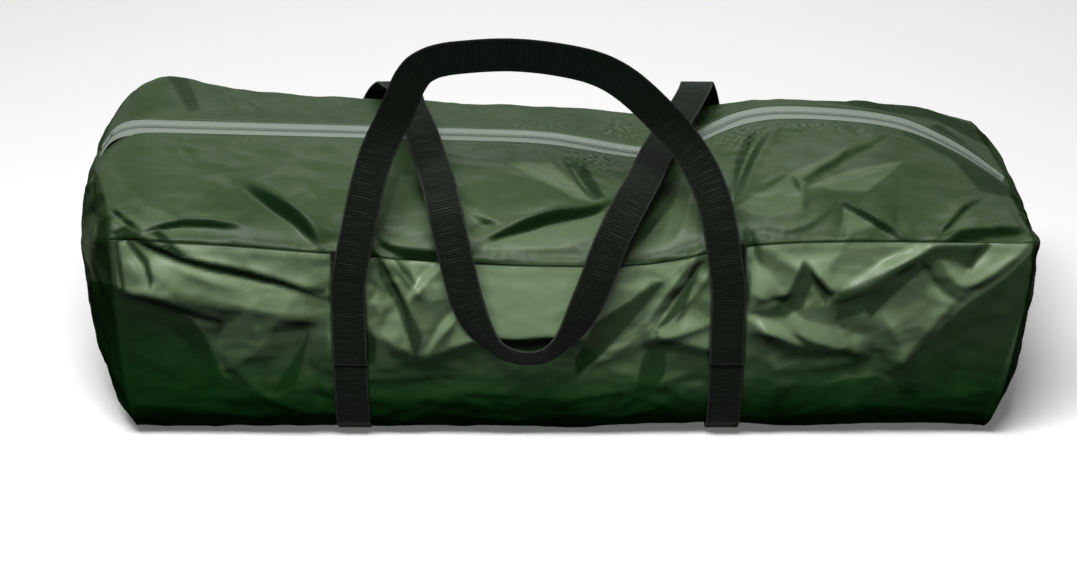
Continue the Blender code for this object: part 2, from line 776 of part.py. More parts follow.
def sewn_line(x, base, side, low, high):
    # Middle of a handle end over its girth strap, from low to high
    points, outward = strap_line(x, base)
    line = [point + way * sewn_offset for point, way in zip(points, outward)]
    line = [point for point in line if side * point[0] > flat_reach and point[1] > bottom_turn]
    line.sort(key=lambda point: point[1])
    heights = [point[1] for point in line]
    depths = [point[0] for point in line]
    wanted = [low] + [z for z in heights if low + least_step < z < high - least_step] + [high]
    return [(np.interp(z, heights, depths), z) for z in wanted]


def sewn_mesh(strap, base, side, pivot):
    high = pivot - fold_room

    def line_at(x):
        line = sewn_line(x, base, side, pivot - sewn_length, high)
        pairs = []
        for i, point in enumerate(line):
            before = np.array(line[max(i - 1, 0)])
            after = np.array(line[min(i + 1, len(line) - 1)])
            run = (after - before) / np.linalg.norm(after - before)
            way = np.array([run[1], -run[0]]) * side
            pairs.append((np.array(point) - way * web / 2, np.array(point) + way * web / 2))
        return pairs

    return loft_mesh(strap_loops(strap, line_at))


def ribbon_mesh(route):
    # A strap along a route of places and facings, with rounded ends that
    # turn about their own middle
    line = smooth_line(route)
    length = np.sum(np.linalg.norm(np.diff(line[:, :3], axis=0), axis=1))
    frames = along(line, max(12, int(length / route_step)))
    half = web_width / 2
    loops = []
    sections = []
    for i, frame in enumerate(frames):
        before = frames[max(i - 1, 0)][:3]
        after = frames[min(i + 1, len(frames) - 1)][:3]
        run = Vector(after - before).normalized()
        face = Vector(frame[3:6])
        face = (face - run * face.dot(run)).normalized()
        sections.append((Vector(frame[:3]), run, face, run.cross(face).normalized()))
    ends = []
    for place, run, face, across in (sections[0], sections[-1]):
        outward = -run if place is sections[0][0] else run
        for share in round_shares:
            thin = sqrt(1 - share * share)
            ends.append((place + outward * web / 2 * share, face * thin, across))
    stack = [ends[1], ends[0]]
    stack += [(place, face, across) for place, run, face, across in sections]
    stack += [ends[2], ends[3]]
    for place, face, across in stack:
        thick = face * web / 2
        loops.append([
            place - across * half - thick, place + across * half - thick,
            place + across * half + thick, place - across * half + thick,
        ])
    return loft_mesh(loops)


def pivot_depth(base, side, pivot):
    # Both ends of a handle turn about one axis, clear of the fuller strap
    edges = [strap + edge for strap in (strap_left, strap_right) for edge in (-web_width / 2, web_width / 2)]
    depths = [sewn_line(edge, base, side, pivot - sewn_length, pivot)[-1][0] for edge in edges]
    return side * max(abs(depth) for depth in depths)


def handle_route(parts, base, side, pivot):
    # Joins the parts of a route and sets both ends on their pivots
    depth = pivot_depth(base, side, pivot)
    route = []
    for kind, points in parts:
        for dx, reach, rise, face in points:
            x = dx + {"left": strap_left, "right": strap_right, "free": 0.0}[kind]
            y = side * (seam_reach + reach) if kind != "free" else reach
            route.append([x, y, bag_height + rise, *face])
    for end, strap in ((0, strap_left), (-1, strap_right)):
        route.insert(0 if end == 0 else len(route), [strap, depth, pivot, 0, side, 0])
    return route


def front_route():
    parts = [("left", front_left_route)]
    top = [(dx, -(seam_reach + reach), rise, face) for dx, reach, rise, face in front_top_route]
    parts += [("free", top), ("right", front_right_route)]
    return parts


def make_webbing(base):
    for name, strap in (("left", strap_left), ("right", strap_right)):
        new_object(name + "_girth_strap", girth_mesh(strap, base), webbing_black)
        for place, side, pivot in (("front", -1, front_pivot_height), ("back", 1, back_pivot_height)):
            end = sewn_mesh(strap, base, side, pivot)
            new_object(place + "_handle_end_" + name, end, webbing_black)
    route = handle_route(front_route(), base, -1, front_pivot_height)
    new_object("front_handle", ribbon_mesh(route), webbing_black)
    parts = [("left", back_left_route), ("free", back_over_left), ("free", back_over_right)]
    parts += [("right", back_right_route)]
    route = handle_route(parts, base, 1, back_pivot_height)
    new_object("back_handle", ribbon_mesh(route), webbing_black)


# Contents. The roll fills what the groundsheet leaves under the zip, and the
# poles and the peg bag lie beside it.

sheet_low = groove_depth + fabric + gap
sheet_top = sheet_low + sheet_height
roll_low = sheet_top + gap + web + gap      # the ties pass under the roll
roll_radius = (bag_height - roll_head - roll_low) / 2
roll_height = roll_low + roll_radius


def rounded_outline(half, low, high, edge, steps=3):
    outline = []
    corners = ((half - edge, low + edge, -90), (half - edge, high - edge, 0),
               (-half + edge, high - edge, 90), (-half + edge, low + edge, 180))
    for y, z, start in corners:
        for step in range(steps + 1):
            angle = radians(start + 90 * step / steps)
            outline.append((y + edge * cos(angle), z + edge * sin(angle)))
    return outline


def make_groundsheet():
    loops = []
    for inset, shrink in sheet_ends:
        loops.append((sheet_left + inset, shrink))
    for inset, shrink in reversed(sheet_ends):
        loops.append((sheet_right - inset, shrink))
    rings = []
    for x, shrink in loops:
        outline = rounded_outline(sheet_reach - shrink, sheet_low + shrink, sheet_top - shrink, sheet_edge)
        rings.append([(x, y, z) for y, z in outline])
    new_object("groundsheet_bundle", loft_mesh(rings), sheet_grey)


def circle(x, middle, height, radius, sides):
    angles = [(2 * k + 1) * pi / sides for k in range(sides)]
    return [(x, middle + radius * cos(angle), height + radius * sin(angle)) for angle in angles]


roll_sides = 24


def make_canopy():
    loops = [circle(roll_left + inset, roll_middle, roll_height, roll_radius - shrink, roll_sides)
             for inset, shrink in roll_ends]
    loops += [circle(roll_right - inset, roll_middle, roll_height, roll_radius - shrink, roll_sides)
              for inset, shrink in reversed(roll_ends)]
    new_object("canopy_bundle", loft_mesh(loops), canvas_beige)


def ring_mesh(x, width, middle, height, inner, outer, sides):
    builder = bmesh.new()
    rings = []
    for radius in (inner, outer):
        for place in (x - width / 2, x + width / 2):
            rings.append([builder.verts.new(point) for point in circle(place, middle, height, radius, sides)])
    inner_low, inner_high, outer_low, outer_high = rings
    for first, second in ((inner_low, inner_high), (inner_high, outer_high),
                          (outer_high, outer_low), (outer_low, inner_low)):
        for j in range(sides):
            k = (j + 1) % sides
            builder.faces.new([first[j], first[k], second[k], second[j]])
    face_out(builder)
    return builder


def make_ties():
    for name, place in (("canopy_tie_left", tie_left), ("canopy_tie_right", tie_right)):
        inner = roll_radius + gap
        tie = ring_mesh(place, tie_width, roll_middle, roll_height, inner, inner + web, roll_sides)
        new_object(name, tie, webbing_black)


pole_sides = 12


def pole_mesh(middle, height):
    # A tube with a swaged spigot, open right through
    inner = pole_radius - pole_wall
    spigot = inner - gap
    bore = spigot - pole_wall
    end = pole_start + pole_length
    neck = end - pole_spigot
    outline = [
        (pole_start, inner), (pole_start, pole_radius), (neck, pole_radius), (neck + pole_taper, spigot),
        (end, spigot), (end, bore), (neck - pole_bore_lead, bore),
        (neck - pole_bore_lead - pole_bore_taper, inner),
    ]
    builder = bmesh.new()
    rings = [[builder.verts.new(point) for point in circle(x, middle, height, radius, pole_sides)]
             for x, radius in outline]
    for first, second in zip(rings, rings[1:] + rings[:1]):
        for j in range(pole_sides):
            k = (j + 1) % pole_sides
            builder.faces.new([first[j], first[k], second[k], second[j]])
    face_out(builder)
    return builder


def pole_places():
    # Three sections side by side on the groundsheet and one in the valley
    pitch = 2 * pole_radius + pole_room
    level = sheet_top + gap + pole_radius
    beside = roll_radius + gap + web + pole_clear + pole_radius
    first = roll_middle + sqrt(beside ** 2 - (roll_height - level) ** 2)
    places = [(first + pitch * k, level) for k in range(3)]
    # The tubes are many-sided, so the upper one beds on the flats of the two below
    nested = 2 * pole_radius * cos(pi / pole_sides) + gap
    places.append((first + pitch * 1.5, level + sqrt(nested ** 2 - (pitch / 2) ** 2)))
    return places


def make_poles():
    for number, (middle, height) in enumerate(pole_places(), start=1):
        new_object("pole_section_" + str(number), pole_mesh(middle, height), steel_coat)


pouch_middle = roll_middle + roll_radius + gap + pouch_reach


def make_peg_bag():
    low = pole_places()[3][1] + pole_radius + gap
    high = low + pouch_height
    mouth = pouch_left + pouch_length
    builder = bmesh.new()
    rings = []
    plan = (
        (pouch_left, 0.0), (mouth, 0.0),
        (mouth, pouch_wall), (pouch_left + pouch_wall, pouch_wall),
    )
    for x, inset in plan:
        outline = rounded_outline(pouch_reach - inset, low + inset, high - inset, pouch_corner - inset)
        rings.append([builder.verts.new((x, pouch_middle + y, z)) for y, z in outline])
    count = len(rings[0])
    for first, second in zip(rings, rings[1:]):
        for j in range(count):
            k = (j + 1) % count
            builder.faces.new([first[j], first[k], second[k], second[j]])
    builder.faces.new(rings[0])
    builder.faces.new(rings[-1])
    face_out(builder)
    new_object("peg_bag", builder, coated_green_dark)
    return low + pouch_wall + gap


def peg_mesh(start, y, z):
    # A pointed shank with a head bent up and back
    sides = 6
    bend = 2 * peg_radius
    turn = start + peg_length - bend
    loops = [
        circle(start, y, z, peg_tip, sides),
        circle(start + peg_point, y, z, peg_radius, sides),
        circle(turn, y, z, peg_radius, sides),
    ]
    for step in (1, 2, 3):
        angle = radians(50 * step)
        centre = Vector((turn, y, z + bend))
        radial = Vector((sin(angle), 0, -cos(angle)))
        ring = []
        for k in range(sides):
            spoke = 2 * pi * k / sides + pi / sides
            side = Vector((0, peg_radius * cos(spoke), 0))
            ring.append(centre + radial * (bend - peg_radius * sin(spoke)) + side)
        loops.append(ring)
    return loft_mesh(loops)


def make_pegs(floor):
    per_row = peg_count // 2
    start = pouch_left + pouch_wall + gap
    for index in range(peg_count):
        column = index % per_row
        layer = index // per_row
        y = pouch_middle + (column - (per_row - 1) / 2) * peg_pitch
        z = floor + peg_radius + layer * (2 * peg_radius + gap)
        # The upper layer ends short of the lower layer's heads
        peg = peg_mesh(start + (1 - layer) * peg_stagger, y, z)
        new_object("peg_" + str(index + 1), peg, peg_steel)


# Model

for item in list(bpy.data.objects):
    bpy.data.objects.remove(item, do_unlink=True)

front_upper_grid, back_upper_grid, base_grid = skin_grids()
make_bag(front_upper_grid, back_upper_grid, base_grid)
make_zip()
make_sliders()
make_webbing(base_grid)
make_groundsheet()
make_canopy()
make_ties()
make_poles()
peg_floor = make_peg_bag()
make_pegs(peg_floor)
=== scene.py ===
# The tipi tent packed in its zipped carry bag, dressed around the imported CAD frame.
# Metres, +X along the bag, -Y to the viewer of the front, +Z up.

import json
import bpy
import bmesh
import numpy as np
from math import cos, pi, radians, sin, sqrt
from mathutils import Vector, noise
from mathutils.bvhtree import BVHTree
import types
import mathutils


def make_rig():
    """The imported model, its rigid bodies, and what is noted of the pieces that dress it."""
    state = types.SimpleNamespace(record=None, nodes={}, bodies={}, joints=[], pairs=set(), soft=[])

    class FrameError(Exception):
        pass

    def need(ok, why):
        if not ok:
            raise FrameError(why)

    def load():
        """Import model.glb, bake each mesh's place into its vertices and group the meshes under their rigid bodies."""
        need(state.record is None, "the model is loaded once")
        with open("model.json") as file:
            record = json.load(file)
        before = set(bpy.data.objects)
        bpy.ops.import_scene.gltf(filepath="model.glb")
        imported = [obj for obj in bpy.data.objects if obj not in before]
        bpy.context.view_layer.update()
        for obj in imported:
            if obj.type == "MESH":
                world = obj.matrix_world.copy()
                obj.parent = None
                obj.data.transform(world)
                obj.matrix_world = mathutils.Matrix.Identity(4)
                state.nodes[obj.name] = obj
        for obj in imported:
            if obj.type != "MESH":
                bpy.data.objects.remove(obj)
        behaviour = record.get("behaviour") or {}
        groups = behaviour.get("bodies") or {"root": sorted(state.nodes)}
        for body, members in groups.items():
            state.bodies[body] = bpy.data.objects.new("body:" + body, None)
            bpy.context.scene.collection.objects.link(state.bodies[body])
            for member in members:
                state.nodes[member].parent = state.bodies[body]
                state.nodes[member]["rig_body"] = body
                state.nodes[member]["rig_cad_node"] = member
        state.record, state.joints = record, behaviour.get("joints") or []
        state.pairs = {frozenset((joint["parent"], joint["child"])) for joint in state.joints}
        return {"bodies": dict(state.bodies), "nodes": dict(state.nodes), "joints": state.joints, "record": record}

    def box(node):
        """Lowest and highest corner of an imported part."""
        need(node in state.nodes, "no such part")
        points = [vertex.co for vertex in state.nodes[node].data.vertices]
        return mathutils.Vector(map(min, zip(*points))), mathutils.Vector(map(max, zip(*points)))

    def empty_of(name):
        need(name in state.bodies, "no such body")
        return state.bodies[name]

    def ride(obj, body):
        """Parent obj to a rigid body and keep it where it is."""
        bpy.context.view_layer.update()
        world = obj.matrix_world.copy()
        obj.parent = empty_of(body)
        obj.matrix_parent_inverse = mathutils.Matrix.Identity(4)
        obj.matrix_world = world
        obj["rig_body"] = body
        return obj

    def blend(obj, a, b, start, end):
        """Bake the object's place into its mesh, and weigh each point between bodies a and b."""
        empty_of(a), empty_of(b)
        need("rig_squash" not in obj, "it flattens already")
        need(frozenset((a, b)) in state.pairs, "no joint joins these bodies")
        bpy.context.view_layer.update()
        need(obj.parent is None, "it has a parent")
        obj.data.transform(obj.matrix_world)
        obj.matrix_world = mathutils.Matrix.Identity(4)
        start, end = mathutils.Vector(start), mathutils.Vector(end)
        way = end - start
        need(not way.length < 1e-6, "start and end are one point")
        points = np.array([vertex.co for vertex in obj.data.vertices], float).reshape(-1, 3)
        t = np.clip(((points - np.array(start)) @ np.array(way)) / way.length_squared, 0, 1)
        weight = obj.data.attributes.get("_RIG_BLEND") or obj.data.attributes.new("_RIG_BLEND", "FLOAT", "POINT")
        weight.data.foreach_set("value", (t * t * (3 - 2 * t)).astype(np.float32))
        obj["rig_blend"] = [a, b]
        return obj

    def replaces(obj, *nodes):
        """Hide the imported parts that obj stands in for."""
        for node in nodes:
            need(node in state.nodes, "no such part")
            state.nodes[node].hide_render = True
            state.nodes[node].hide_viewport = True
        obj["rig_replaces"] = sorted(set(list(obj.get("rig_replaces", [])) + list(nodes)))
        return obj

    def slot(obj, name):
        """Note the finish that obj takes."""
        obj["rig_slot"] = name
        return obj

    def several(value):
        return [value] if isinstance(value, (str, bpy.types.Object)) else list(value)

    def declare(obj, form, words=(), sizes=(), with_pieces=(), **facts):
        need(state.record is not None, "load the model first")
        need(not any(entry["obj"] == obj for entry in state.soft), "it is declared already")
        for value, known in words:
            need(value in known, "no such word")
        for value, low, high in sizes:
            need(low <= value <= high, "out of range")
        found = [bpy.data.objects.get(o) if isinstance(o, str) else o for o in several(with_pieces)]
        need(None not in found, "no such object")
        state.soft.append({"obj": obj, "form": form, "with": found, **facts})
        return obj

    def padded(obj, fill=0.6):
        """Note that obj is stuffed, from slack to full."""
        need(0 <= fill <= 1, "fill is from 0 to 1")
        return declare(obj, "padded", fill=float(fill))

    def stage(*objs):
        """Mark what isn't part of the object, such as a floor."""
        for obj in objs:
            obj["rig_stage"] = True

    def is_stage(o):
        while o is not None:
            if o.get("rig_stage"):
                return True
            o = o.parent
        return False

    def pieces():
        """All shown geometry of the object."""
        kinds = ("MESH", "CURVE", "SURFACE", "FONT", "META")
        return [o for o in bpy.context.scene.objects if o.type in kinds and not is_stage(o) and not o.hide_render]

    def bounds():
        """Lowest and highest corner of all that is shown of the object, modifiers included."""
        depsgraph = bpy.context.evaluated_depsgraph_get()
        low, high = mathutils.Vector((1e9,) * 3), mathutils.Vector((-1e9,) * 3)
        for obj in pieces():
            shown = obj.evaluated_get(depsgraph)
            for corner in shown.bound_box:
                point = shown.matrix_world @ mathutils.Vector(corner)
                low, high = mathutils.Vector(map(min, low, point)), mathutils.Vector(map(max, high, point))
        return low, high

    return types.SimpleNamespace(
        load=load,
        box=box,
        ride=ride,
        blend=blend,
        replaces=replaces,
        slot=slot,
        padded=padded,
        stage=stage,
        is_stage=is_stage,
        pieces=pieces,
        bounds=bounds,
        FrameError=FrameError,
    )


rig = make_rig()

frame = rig.load()
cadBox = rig.bounds()
nodes = frame["nodes"]
scene = bpy.context.scene
scene.view_settings.view_transform = "Standard"
bpy.ops.object.select_all(action="DESELECT")
noise.seed_set(7)                             # the same creases on each run
print("frame loaded")


# Shader nodes

def addNode(tree, kind, values=None, **settings):
    node = tree.nodes.new("ShaderNode" + kind)
    for name, value in settings.items():
        setattr(node, name, value)
    for name, value in (values or {}).items():
        if hasattr(value, "is_linked"):
            tree.links.new(value, node.inputs[name])
        else:
            node.inputs[name].default_value = value
    return node


def newGroup(name, inputs, outputs):
    group = bpy.data.node_groups.new(name, "ShaderNodeTree")
    for label, kind, value in inputs:
        socket = group.interface.new_socket(label, in_out="INPUT", socket_type="NodeSocket" + kind)
        if value is not None:
            socket.default_value = value
    for label in outputs:
        group.interface.new_socket(label, in_out="OUTPUT", socket_type="NodeSocketFloat")
    return group, group.nodes.new("NodeGroupInput").outputs, group.nodes.new("NodeGroupOutput").inputs


def newLook(name, **constants):
    look = bpy.data.materials.new(name)
    look.use_nodes = True
    shader = look.node_tree.nodes["Principled BSDF"]
    for socket, value in constants.items():
        shader.inputs[socket.replace("_", " ")].default_value = value
    return look, look.node_tree, shader.inputs


def maths(tree, operation, a, b=0.0, clamp=False):
    return addNode(tree, "Math", {0: a, 1: b}, operation=operation, use_clamp=clamp).outputs[0]


def spread(tree, value, low, high, toLow, toHigh):
    return addNode(tree, "MapRange", {"Value": value, "From Min": low, "From Max": high,
                                      "To Min": toLow, "To Max": toHigh}).outputs["Result"]


def cloudy(tree, place, scale, detail, roughness=0.5):
    return addNode(tree, "TexNoise", {"Vector": place, "Scale": scale, "Detail": detail,
                                      "Roughness": roughness}).outputs["Fac"]


def layered(tree, colour, *layers):
    # Colours laid one over another, each by its own mask
    for mask, laid in layers:
        first, second = (c if hasattr(c, "is_linked") else (*c, 1) for c in (colour, laid))
        colour = addNode(tree, "Mix", {"A": first, "B": second, "Factor": mask},
                         data_type="RGBA").outputs["Result"]
    return colour


def toned(colour, factor):
    return tuple(min(1.0, factor * c) for c in colour)


def bump(tree, shader, height, strength, distance, below=None):
    values = {"Height": height, "Strength": strength, "Distance": distance}
    if below:
        values["Normal"] = below
    normal = addNode(tree, "Bump", values).outputs["Normal"]
    tree.links.new(normal, shader["Normal"])
    return normal


# Camera and stage

photo = {
    "width": 1077, "height": 575,
    "focal": 2781.0,                          # in the photograph's pixels
    "place": (-0.01933, -2.28936, 1.24912),
    "tilt": radians(63.0),
}
cameraPlace = np.array(photo["place"])
cameraUp = np.array([0.0, cos(photo["tilt"]), sin(photo["tilt"])])
cameraForward = np.array([0.0, sin(photo["tilt"]), -cos(photo["tilt"])])


def makeCamera():
    data = bpy.data.cameras.new("photoCamera")
    data.sensor_width = 36
    data.lens = photo["focal"] * data.sensor_width / photo["width"]
    camera = bpy.data.objects.new("photoCamera", data)
    camera.location = photo["place"]
    camera.rotation_euler = (photo["tilt"], 0, 0)
    scene.collection.objects.link(camera)
    scene.camera = camera


def photoPixels(points):
    # Where points of the scene fall in the photograph
    offset = points - cameraPlace
    depth = offset @ cameraForward
    px = photo["width"] / 2 + photo["focal"] * offset[..., 0] / depth
    py = photo["height"] / 2 - photo["focal"] * (offset @ cameraUp) / depth
    return np.stack([px, py], axis=-1)


stage = {
    "floorSize": 14.0, "floorDrop": 0.0002, "floorGlow": 0.12,
    "floorShown": 0.93, "floorBounce": 0.05,  # the floor's colour to the camera, and to other rays
    "worldShown": 1.0, "worldFill": 0.07,     # the world's strength, the same way
}


def shownRay(tree):
    # 1 for rays that show the background: camera, glossy and transmission
    rays = addNode(tree, "LightPath").outputs
    seen = maths(tree, "MAXIMUM", rays["Is Camera Ray"], rays["Is Glossy Ray"])
    return maths(tree, "MAXIMUM", seen, rays["Is Transmission Ray"])


def makeStage():
    bpy.ops.mesh.primitive_plane_add(size=stage["floorSize"], location=(0, 0, -stage["floorDrop"]))
    floor = bpy.context.active_object
    floor.name = "studioFloor"
    look, tree, shader = newLook("pale floor", Roughness=1.0, Specular_IOR_Level=0.0,
                                 Emission_Strength=stage["floorGlow"])
    seen = shownRay(tree)
    tree.links.new(layered(tree, [stage["floorBounce"]] * 3, (seen, [stage["floorShown"]] * 3)),
                   shader["Base Color"])
    tree.links.new(seen, shader["Emission Color"])
    floor.data.materials.append(look)
    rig.stage(floor)
    world = bpy.data.worlds.new("studio world")
    world.use_nodes = True
    scene.world = world
    tree = world.node_tree
    background = tree.nodes["Background"].inputs
    background["Color"].default_value = (1, 1, 1, 1)
    level = spread(tree, shownRay(tree), 0.0, 1.0, stage["worldFill"], stage["worldShown"])
    tree.links.new(level, background["Strength"])


lamps = {
    # name: place, point looked at, width, depth, watts
    "overhead softbox": ((-0.30, -1.15, 2.0), (0, 0, 0.1), 1.3, 0.6, 62),
    "back fill": ((0.1, 1.7, 1.7), (0, 0, 0.1), 1.3, 0.5, 12),
}


def makeLamps():
    for name, (place, target, width, depth, watts) in lamps.items():
        data = bpy.data.lights.new(name, "AREA")
        data.shape = "RECTANGLE"
        data.size, data.size_y, data.energy = width, depth, watts
        lamp = bpy.data.objects.new(name, data)
        lamp.location = place
        lamp.rotation_euler = (Vector(target) - Vector(place)).to_track_quat("-Z", "Y").to_euler()
        scene.collection.objects.link(lamp)


makeCamera()
makeStage()
makeLamps()
print("camera and stage made")


# Finishes

def makeWeaveGroup():
    # Plain weave: threads over and under, on coordinates in metres
    group, start, end = newGroup(
        "plain weave",
        [("Vector", "Vector", None), ("Pitch Along", "Float", 0.002), ("Pitch Across", "Float", 0.002)],
        ["Height", "Gap"],
    )
    flat = addNode(group, "SeparateXYZ", {0: start["Vector"]}).outputs
    waves = []
    for axis, pitch in (("X", "Pitch Along"), ("Y", "Pitch Across")):
        turns = maths(group, "DIVIDE", flat[axis], start[pitch])
        waves.append(maths(group, "SINE", maths(group, "MULTIPLY", turns, pi)))
    product = maths(group, "MULTIPLY", *waves)
    group.links.new(maths(group, "MULTIPLY", product, 0.5), end["Height"])
    group.links.new(maths(group, "SUBTRACT", 0.35, maths(group, "ABSOLUTE", product), clamp=True), end["Gap"])
    return group


def makeWearGroup():
    # Worn, dusty edges: a mask from the surface's raised places and a fine noise
    group, start, end = newGroup(
        "edge wear",
        [("Vector", "Vector", None), ("Amount", "Float", 0.5), ("Scale", "Float", 60.0)],
        ["Mask", "Dust"],
    )
    pointed = addNode(group, "NewGeometry").outputs["Pointiness"]
    raised = maths(group, "MULTIPLY", maths(group, "SUBTRACT", pointed, 0.5, clamp=True), 14.0)
    mask = maths(group, "MULTIPLY", raised, cloudy(group, start["Vector"], start["Scale"], 6.0, 0.6))
    group.links.new(maths(group, "MULTIPLY", mask, start["Amount"], clamp=True), end["Mask"])
    cloud = maths(group, "SUBTRACT", cloudy(group, start["Vector"], 7.0, 4.0), 0.45, clamp=True)
    group.links.new(maths(group, "MULTIPLY", cloud, 1.6, clamp=True), end["Dust"])
    return group


weaveGroup = makeWeaveGroup()
wearGroup = makeWearGroup()


def addWear(tree, place, amount, scale):
    values = {"Vector": place, "Amount": amount, "Scale": scale}
    return addNode(tree, "Group", values, node_tree=wearGroup).outputs


def wovenStart(tree, along, across, amount, scale):
    # What every woven look starts from: its place, its flat place, its weave and its wear
    place = addNode(tree, "TexCoord").outputs["Object"]
    flat = addNode(tree, "UVMap", uv_map="cut").outputs["UV"]
    weave = addNode(tree, "Group", {"Vector": flat, "Pitch Along": along, "Pitch Across": across},
                    node_tree=weaveGroup).outputs
    return place, flat, weave, addWear(tree, place, amount, scale)


coatedCloth = {
    "colour": (0.046, 0.088, 0.032), "light": (0.070, 0.118, 0.050), "dark": (0.026, 0.060, 0.019),
    # The next three colours are painted light: a painted highlight, a painted shade for folds and facets, and a
    # painted shade low down
    "crest": (0.165, 0.240, 0.128), "soil": (0.0035, 0.0145, 0.0035), "ground": (0.0085, 0.0440, 0.0092),
    "cleanHeight": 0.120, "soiledHeight": 0.040,      # painted shade darkens the cloth towards the ground, and its coat is duller there
    "roughness": 0.40, "coatRoughness": 0.40, "specular": 0.0,
    "thread": 0.0004, "crease": 60.0,
}


def makeClothLook(name, tone, gloss, crest):
    look, tree, shader = newLook(name, IOR=1.5, Coat_Roughness=coatedCloth["coatRoughness"],
                                 Specular_IOR_Level=coatedCloth["specular"])
    place, _, weave, wear = wovenStart(tree, coatedCloth["thread"], coatedCloth["thread"], 0.6, 90.0)
    height = addNode(tree, "SeparateXYZ", {0: place}).outputs["Z"]
    cloud = cloudy(tree, place, 9.0, 5.0, 0.6)
    # tone sets how light this copy of the cloth is, as painted light for its part of the bag; crest sets the strength
    # of its painted highlight
    base, light, dark = (toned(coatedCloth[k], tone) for k in ("colour", "light", "dark"))
    # Painted shade on folds, dark facets and cloth facing the ground, and painted highlight on crests and lit facets
    folds = addNode(tree, "Attribute", attribute_name="creaseShade").outputs["Fac"]
    crests = addNode(tree, "Attribute", attribute_name="creaseLight").outputs["Fac"]
    level = maths(tree, "ADD", height, spread(tree, cloud, 0.3, 0.7, -0.012, 0.012))
    heights = coatedCloth["cleanHeight"], coatedCloth["soiledHeight"]
    colour = layered(
        tree, base,
        (spread(tree, cloud, 0.35, 0.75, 0.0, 0.8), light),
        (spread(tree, cloud, 0.50, 0.25, 0.0, 0.7), dark),
        (wear["Mask"], toned(light, 1.9)),
        # painted highlight
        (maths(tree, "MULTIPLY", crests, 0.8), toned(coatedCloth["crest"], crest)),
        # painted shade in folds and facets, and on cloth facing the ground
        (maths(tree, "MULTIPLY", folds, 0.92), coatedCloth["soil"]),
        # painted shade towards the ground
        (spread(tree, level, *heights, 0.0, 0.95), coatedCloth["ground"]),
    )
    tree.links.new(colour, shader["Base Color"])
    rough = cloudy(tree, place, 38.0, 4.0)
    low, high = coatedCloth["roughness"] - 0.05, coatedCloth["roughness"] + 0.09
    tree.links.new(spread(tree, rough, 0.3, 0.7, low, high), shader["Roughness"])
    # Less coat where the painted shade lies, in the folds and low down
    unshaded = maths(tree, "SUBTRACT", 1.0, maths(tree, "MULTIPLY", folds, 0.9))
    unshaded = maths(tree, "MULTIPLY", spread(tree, level, *heights[::-1], 0.0, 1.0), unshaded)
    coat = maths(tree, "MULTIPLY", spread(tree, rough, 0.3, 0.7, 1.25 * gloss, 0.75 * gloss), unshaded)
    tree.links.new(coat, shader["Coat Weight"])
    crinkle = addNode(tree, "TexVoronoi", {"Vector": place, "Scale": coatedCloth["crease"]},
                      feature="SMOOTH_F1").outputs["Distance"]
    below = bump(tree, shader, maths(tree, "ADD", crinkle, cloudy(tree, place, 130.0, 5.0)), 0.25, 0.0012)
    bump(tree, shader, weave["Height"], 0.25, 0.00006, below)
    return look


blackWeb = {
    "colour": (0.0052, 0.0078, 0.0048), "fibre": (0.017, 0.023, 0.016), "pick": (0.044, 0.053, 0.041),
    "worn": (0.10, 0.105, 0.095), "rib": 0.0026, "thread": 0.0011, "picks": (760.0, 45.0, 1.0),
    # painted shade makes the raised loop blacker than the webbing that lies on the bag, and darkens the grooves
    # between the ribs
    "fresh": (0.0010, 0.0020, 0.0010), "freshLow": 0.262, "freshHigh": 0.310,
}


def makeWebLook(name):
    look, tree, shader = newLook(name, IOR=1.5, Sheen_Weight=0.02, Sheen_Roughness=0.4,
                                 Specular_IOR_Level=0.03)
    place, flat, weave, wear = wovenStart(tree, blackWeb["rib"] / 2, blackWeb["thread"], 0.7, 400.0)
    fuzz = cloudy(tree, place, 900.0, 3.0)
    streaks = addNode(tree, "VectorMath", {0: flat, 1: blackWeb["picks"]},
                      operation="MULTIPLY").outputs["Vector"]
    along = addNode(tree, "SeparateXYZ", {0: flat}).outputs["X"]
    rib = maths(tree, "ABSOLUTE", maths(tree, "SINE", maths(tree, "MULTIPLY", along, pi / blackWeb["rib"])))
    height = addNode(tree, "SeparateXYZ", {0: place}).outputs["Z"]
    colour = layered(
        tree, blackWeb["colour"],
        (spread(tree, fuzz, 0.35, 0.7, 0.0, 0.7), blackWeb["fibre"]),
        # single picks that stand out across the webbing, the dark lines between its threads, and painted shade in the
        # grooves between its ribs
        (spread(tree, cloudy(tree, streaks, 1.0, 2.0), 0.50, 0.80, 0.0, 0.7), blackWeb["pick"]),
        (maths(tree, "MULTIPLY", weave["Gap"], 1.6, clamp=True), toned(blackWeb["colour"], 0.45)),
        (spread(tree, rib, 0.75, 0.15, 0.0, 0.75), blackWeb["fresh"]),
        (wear["Mask"], blackWeb["worn"]),
        # painted shade on the raised loop
        (spread(tree, height, blackWeb["freshLow"], blackWeb["freshHigh"], 0.0, 0.8), blackWeb["fresh"]),
    )
    tree.links.new(colour, shader["Base Color"])
    tree.links.new(spread(tree, fuzz, 0.3, 0.7, 0.55, 0.75), shader["Roughness"])
    bump(tree, shader, weave["Height"], 0.6, 0.00025)
    return look


def makeTapeLook(name, colour, roughness, thread, specular=0.5):
    look, tree, shader = newLook(name, IOR=1.5, Specular_IOR_Level=specular)
    place, _, weave, wear = wovenStart(tree, thread, thread * 0.7, 0.4, 300.0)
    dark = toned(colour, 0.55)
    colour = layered(tree, colour, (weave["Gap"], dark), (maths(tree, "MULTIPLY", wear["Dust"], 0.35), dark))
    tree.links.new(colour, shader["Base Color"])
    grain = cloudy(tree, place, 700.0, 2.0)
    tree.links.new(spread(tree, grain, 0.3, 0.7, roughness - 0.08, roughness + 0.1), shader["Roughness"])
    bump(tree, shader, weave["Height"], 0.5, 0.00015)
    return look


